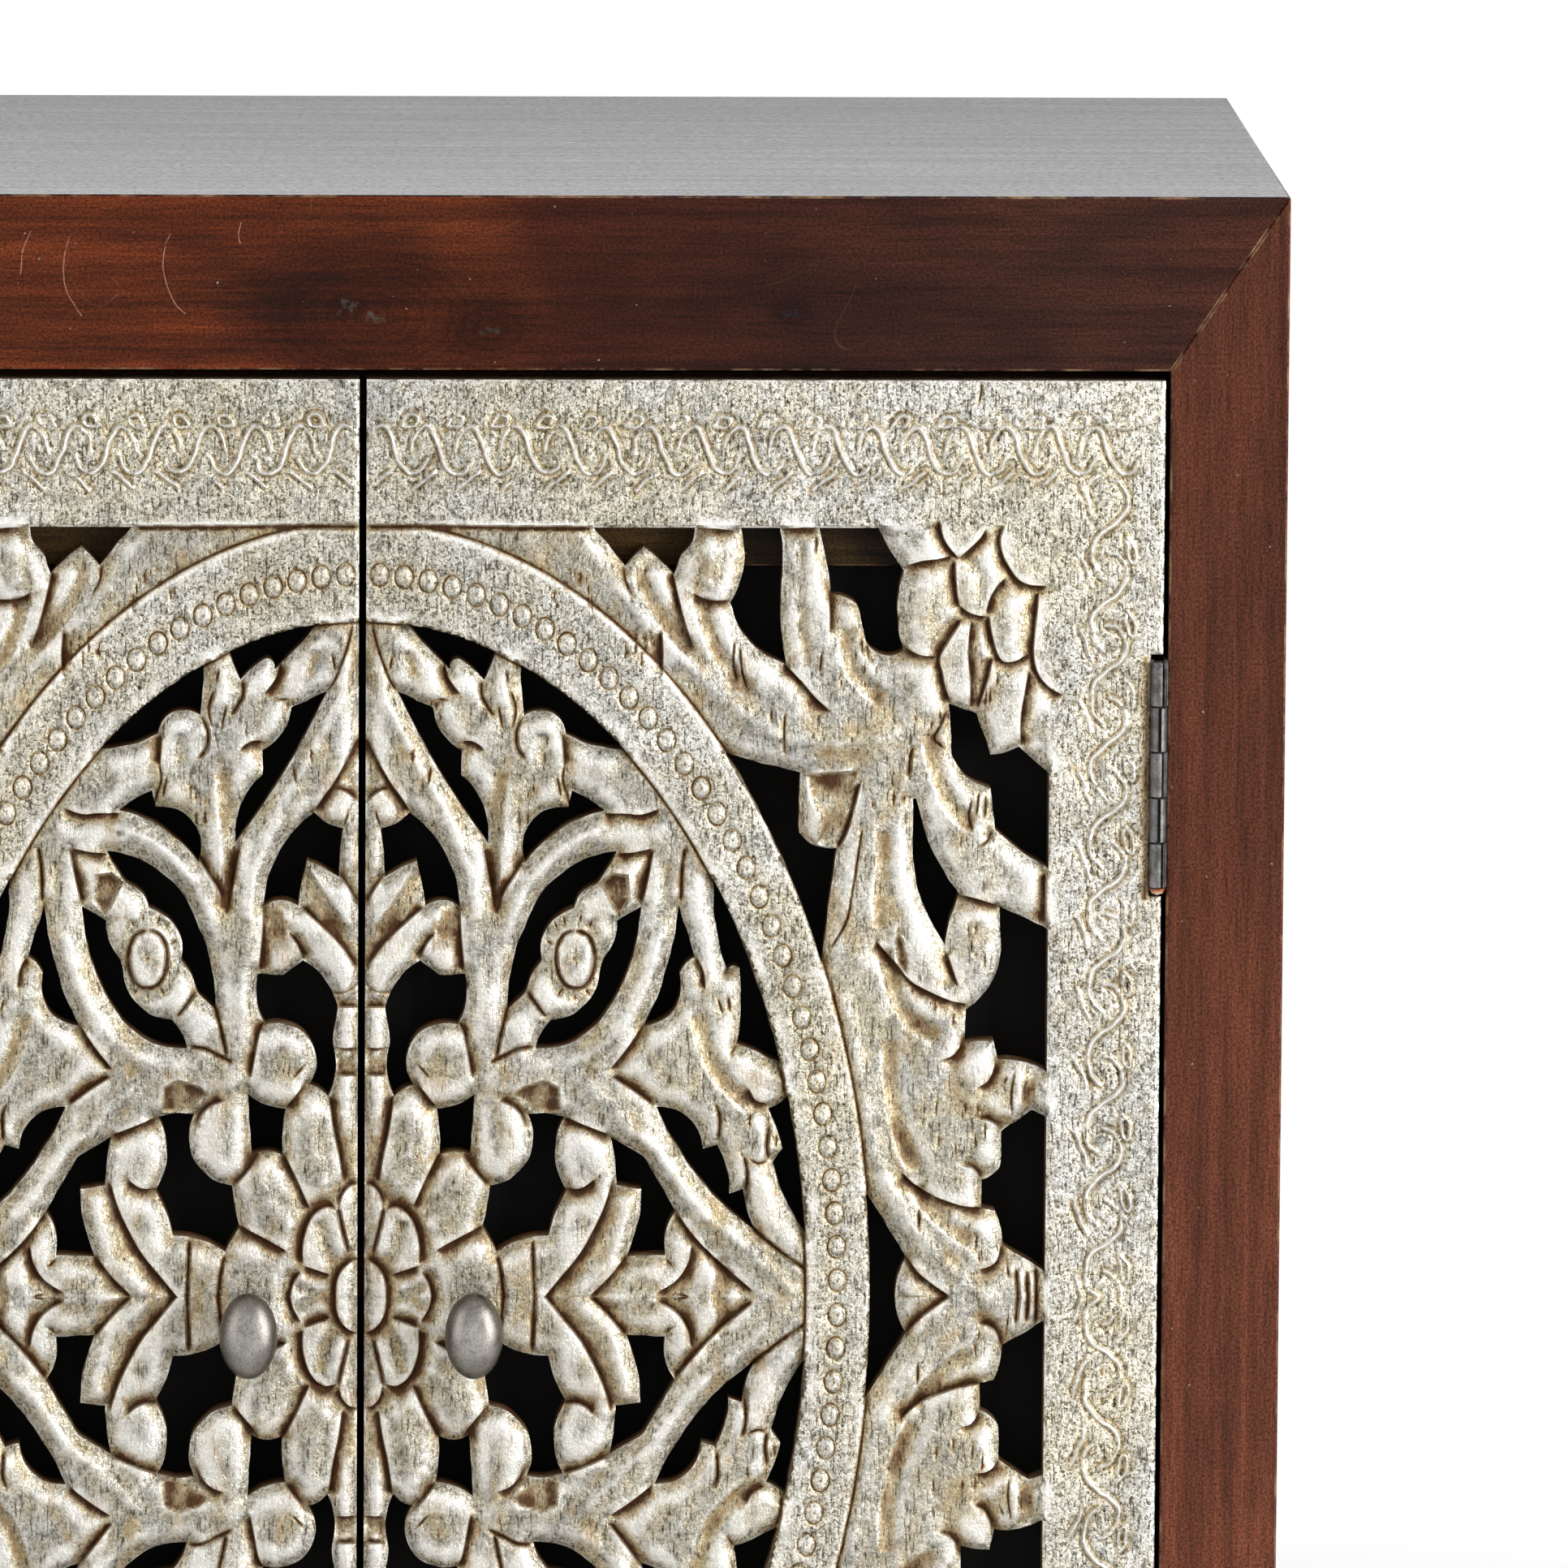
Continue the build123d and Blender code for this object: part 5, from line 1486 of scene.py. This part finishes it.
# %% Knobs
KNOB_OUTLINE = [(0, 0), (5.2, 0), (5.2, 0.8), (4.3, 2.2), (4.2, 4.2), (5.3, 6.2), (7.7, 7.9),
                (9.9, 10.2), (11.4, 13), (12, 16), (11.6, 19), (10.2, 21.9), (8, 24), (5.4, 25.3),
                (2.7, 25.85), (0, 26)]
KNOB_RADIUS, OVAL = 12, 1.5
for word in SIDES:
    low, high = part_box(f"{word}_door_knob")
    centre = Vector(((low.x + high.x) / 2, high.y, (low.z + high.z) / 2))
    work = bmesh.new()
    outline = smooth_line(KNOB_OUTLINE, 1.3)
    verts = [work.verts.new(centre + Vector((max(r, 0), -y, 0)) * MM) for r, y in outline]
    edges = [work.edges.new(pair) for pair in zip(verts, verts[1:])]
    bmesh.ops.spin(work, geom=verts + edges, cent=centre, axis=(0, 1, 0), angle=2 * math.pi,
                   steps=56, use_merge=True)
    bmesh.ops.remove_doubles(work, verts=work.verts, dist=2e-5)
    bmesh.ops.scale(work, vec=(1, 1, OVAL), verts=work.verts,
                    space=Matrix.Translation(-centre))
    bmesh.ops.recalc_face_normals(work, faces=work.faces)
    for face in work.faces:
        face.smooth = True
    open_edges = count_open(work)
    for vert in work.verts:
        vert.co.y = min(max(vert.co.y, low.y), high.y)
    knob = to_object(work, f"{word}_knob_spun")
    dress(knob, pewter)
    # tarnish and painted shade, growing from the front of the knob out to its sides
    tarnish_and_shade = knob.data.attributes.new("tarnish_and_shade", "FLOAT", "POINT")
    for vert, value in zip(knob.data.vertices, tarnish_and_shade.data):
        off_axis = math.hypot(vert.co.x - centre.x, (vert.co.z - centre.z) / OVAL)
        value.value = min(max(1.6 * off_axis / (KNOB_RADIUS * MM) - 0.6, 0), 1)
    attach(knob, f"{word}_door")
    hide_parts(f"{word}_door_knob")
    print(knob.name, "open edges:", open_edges)

# %% [markdown]
# A pale floor takes the shadow and fades out, so that there is no edge to it. A strong soft
# box on the right and a weak one on the left light the slopes of the carving, as a raking
# light does, and a third one overhead lights the top. The white room is seen by mirror-like
# surfaces at full strength, but lights the rest more softly.

# %% Floor, room and lights
FLOOR_REACH = 1.75
work = bmesh.new()
bmesh.ops.create_circle(work, cap_ends=True, segments=96, radius=FLOOR_REACH)
floor = to_object(work, "floor")
floor_finish, tree, shader, place = finish_of("pale floor", Roughness=0.9,
                                              Specular_IOR_Level=0)
away = add(tree, "ShaderNodeVectorMath", {0: place}, operation="LENGTH").outputs["Value"]
fade = ramp(tree, sums(tree, "DIVIDE", away, FLOOR_REACH), (0.45, 1.0), (1.0, 0.0))
wire(tree, shader, Alpha=fade)
shader.inputs["Base Color"].default_value = (0.9, 0.9, 0.9, 1)
dress(floor, floor_finish)

ROOM_LIGHT, LIT_SPOT = 0.36, (0, 0, 0.5)
world = bpy.data.worlds.new("white room")
bpy.context.scene.world = world
world.use_nodes = True
tree = world.node_tree
rays = add(tree, "ShaderNodeLightPath").outputs
mirror = sums(tree, "MAXIMUM", rays["Is Camera Ray"],
              sums(tree, "MAXIMUM", rays["Is Glossy Ray"], rays["Is Transmission Ray"]))
tree.nodes["Background"].inputs["Color"].default_value = (1, 1, 1, 1)
wire(tree, tree.nodes["Background"],
     Strength=sums(tree, "MULTIPLY_ADD", mirror, 1 - ROOM_LIGHT, ROOM_LIGHT))


def soft_box(name, place, width, height, power):
    """A soft box that faces the middle of the case."""
    data = bpy.data.lights.new(name, "AREA")
    data.shape, data.size, data.size_y, data.energy = "RECTANGLE", width, height, power
    light = placed(name, data)
    aim = Vector(LIT_SPOT) - Vector(place)
    light.matrix_world = (Matrix.Translation(place)
                          @ aim.to_track_quat("-Z", "Y").to_matrix().to_4x4())
    return light


soft_box("left soft box", (-2.2, -1.65, 1.1), 1.5, 2.2, 16)
soft_box("right soft box", (2.2, -1.65, 1.1), 1.5, 2.2, 68)
overhead = soft_box("overhead soft box", (0.5, -1.2, 2.9), 1.8, 1.0, 30)
overhead.visible_glossy = False  # so that the metal of the knobs mirrors the side boxes alone
print("floor, room and three soft boxes")

# %% [markdown]
# The camera looks at the doors from far away and a little above, so the lines of the case
# stay almost parallel.

# %% Camera
YAW, PITCH, ROLL = -0.0386627658, 0.145689783, 0.00651440824
EYE_X, EYE_BEFORE, EYE_ABOVE = -0.0722905, 6.3553498, 0.690014585
camera_data = bpy.data.cameras.new("camera")
camera_data.sensor_width = 36
camera_data.lens = 358.6
camera_data.clip_end = 40
camera = placed("camera", camera_data)
camera.matrix_world = (Matrix.Translation((EYE_X, front - EYE_BEFORE, case_top + EYE_ABOVE))
                       @ Matrix.Rotation(YAW, 4, "Z")
                       @ Matrix.Rotation(math.pi / 2 - PITCH, 4, "X")
                       @ Matrix.Rotation(ROLL, 4, "Z"))
bpy.context.scene.camera = camera
print("camera at", tuple(round(v, 3) for v in camera.matrix_world.translation))

# %% [markdown]
# Colours are shown without a film look, and the scene is brought up to date.

# %% View settings
bpy.context.scene.view_settings.view_transform = "Standard"
bpy.context.view_layer.update()
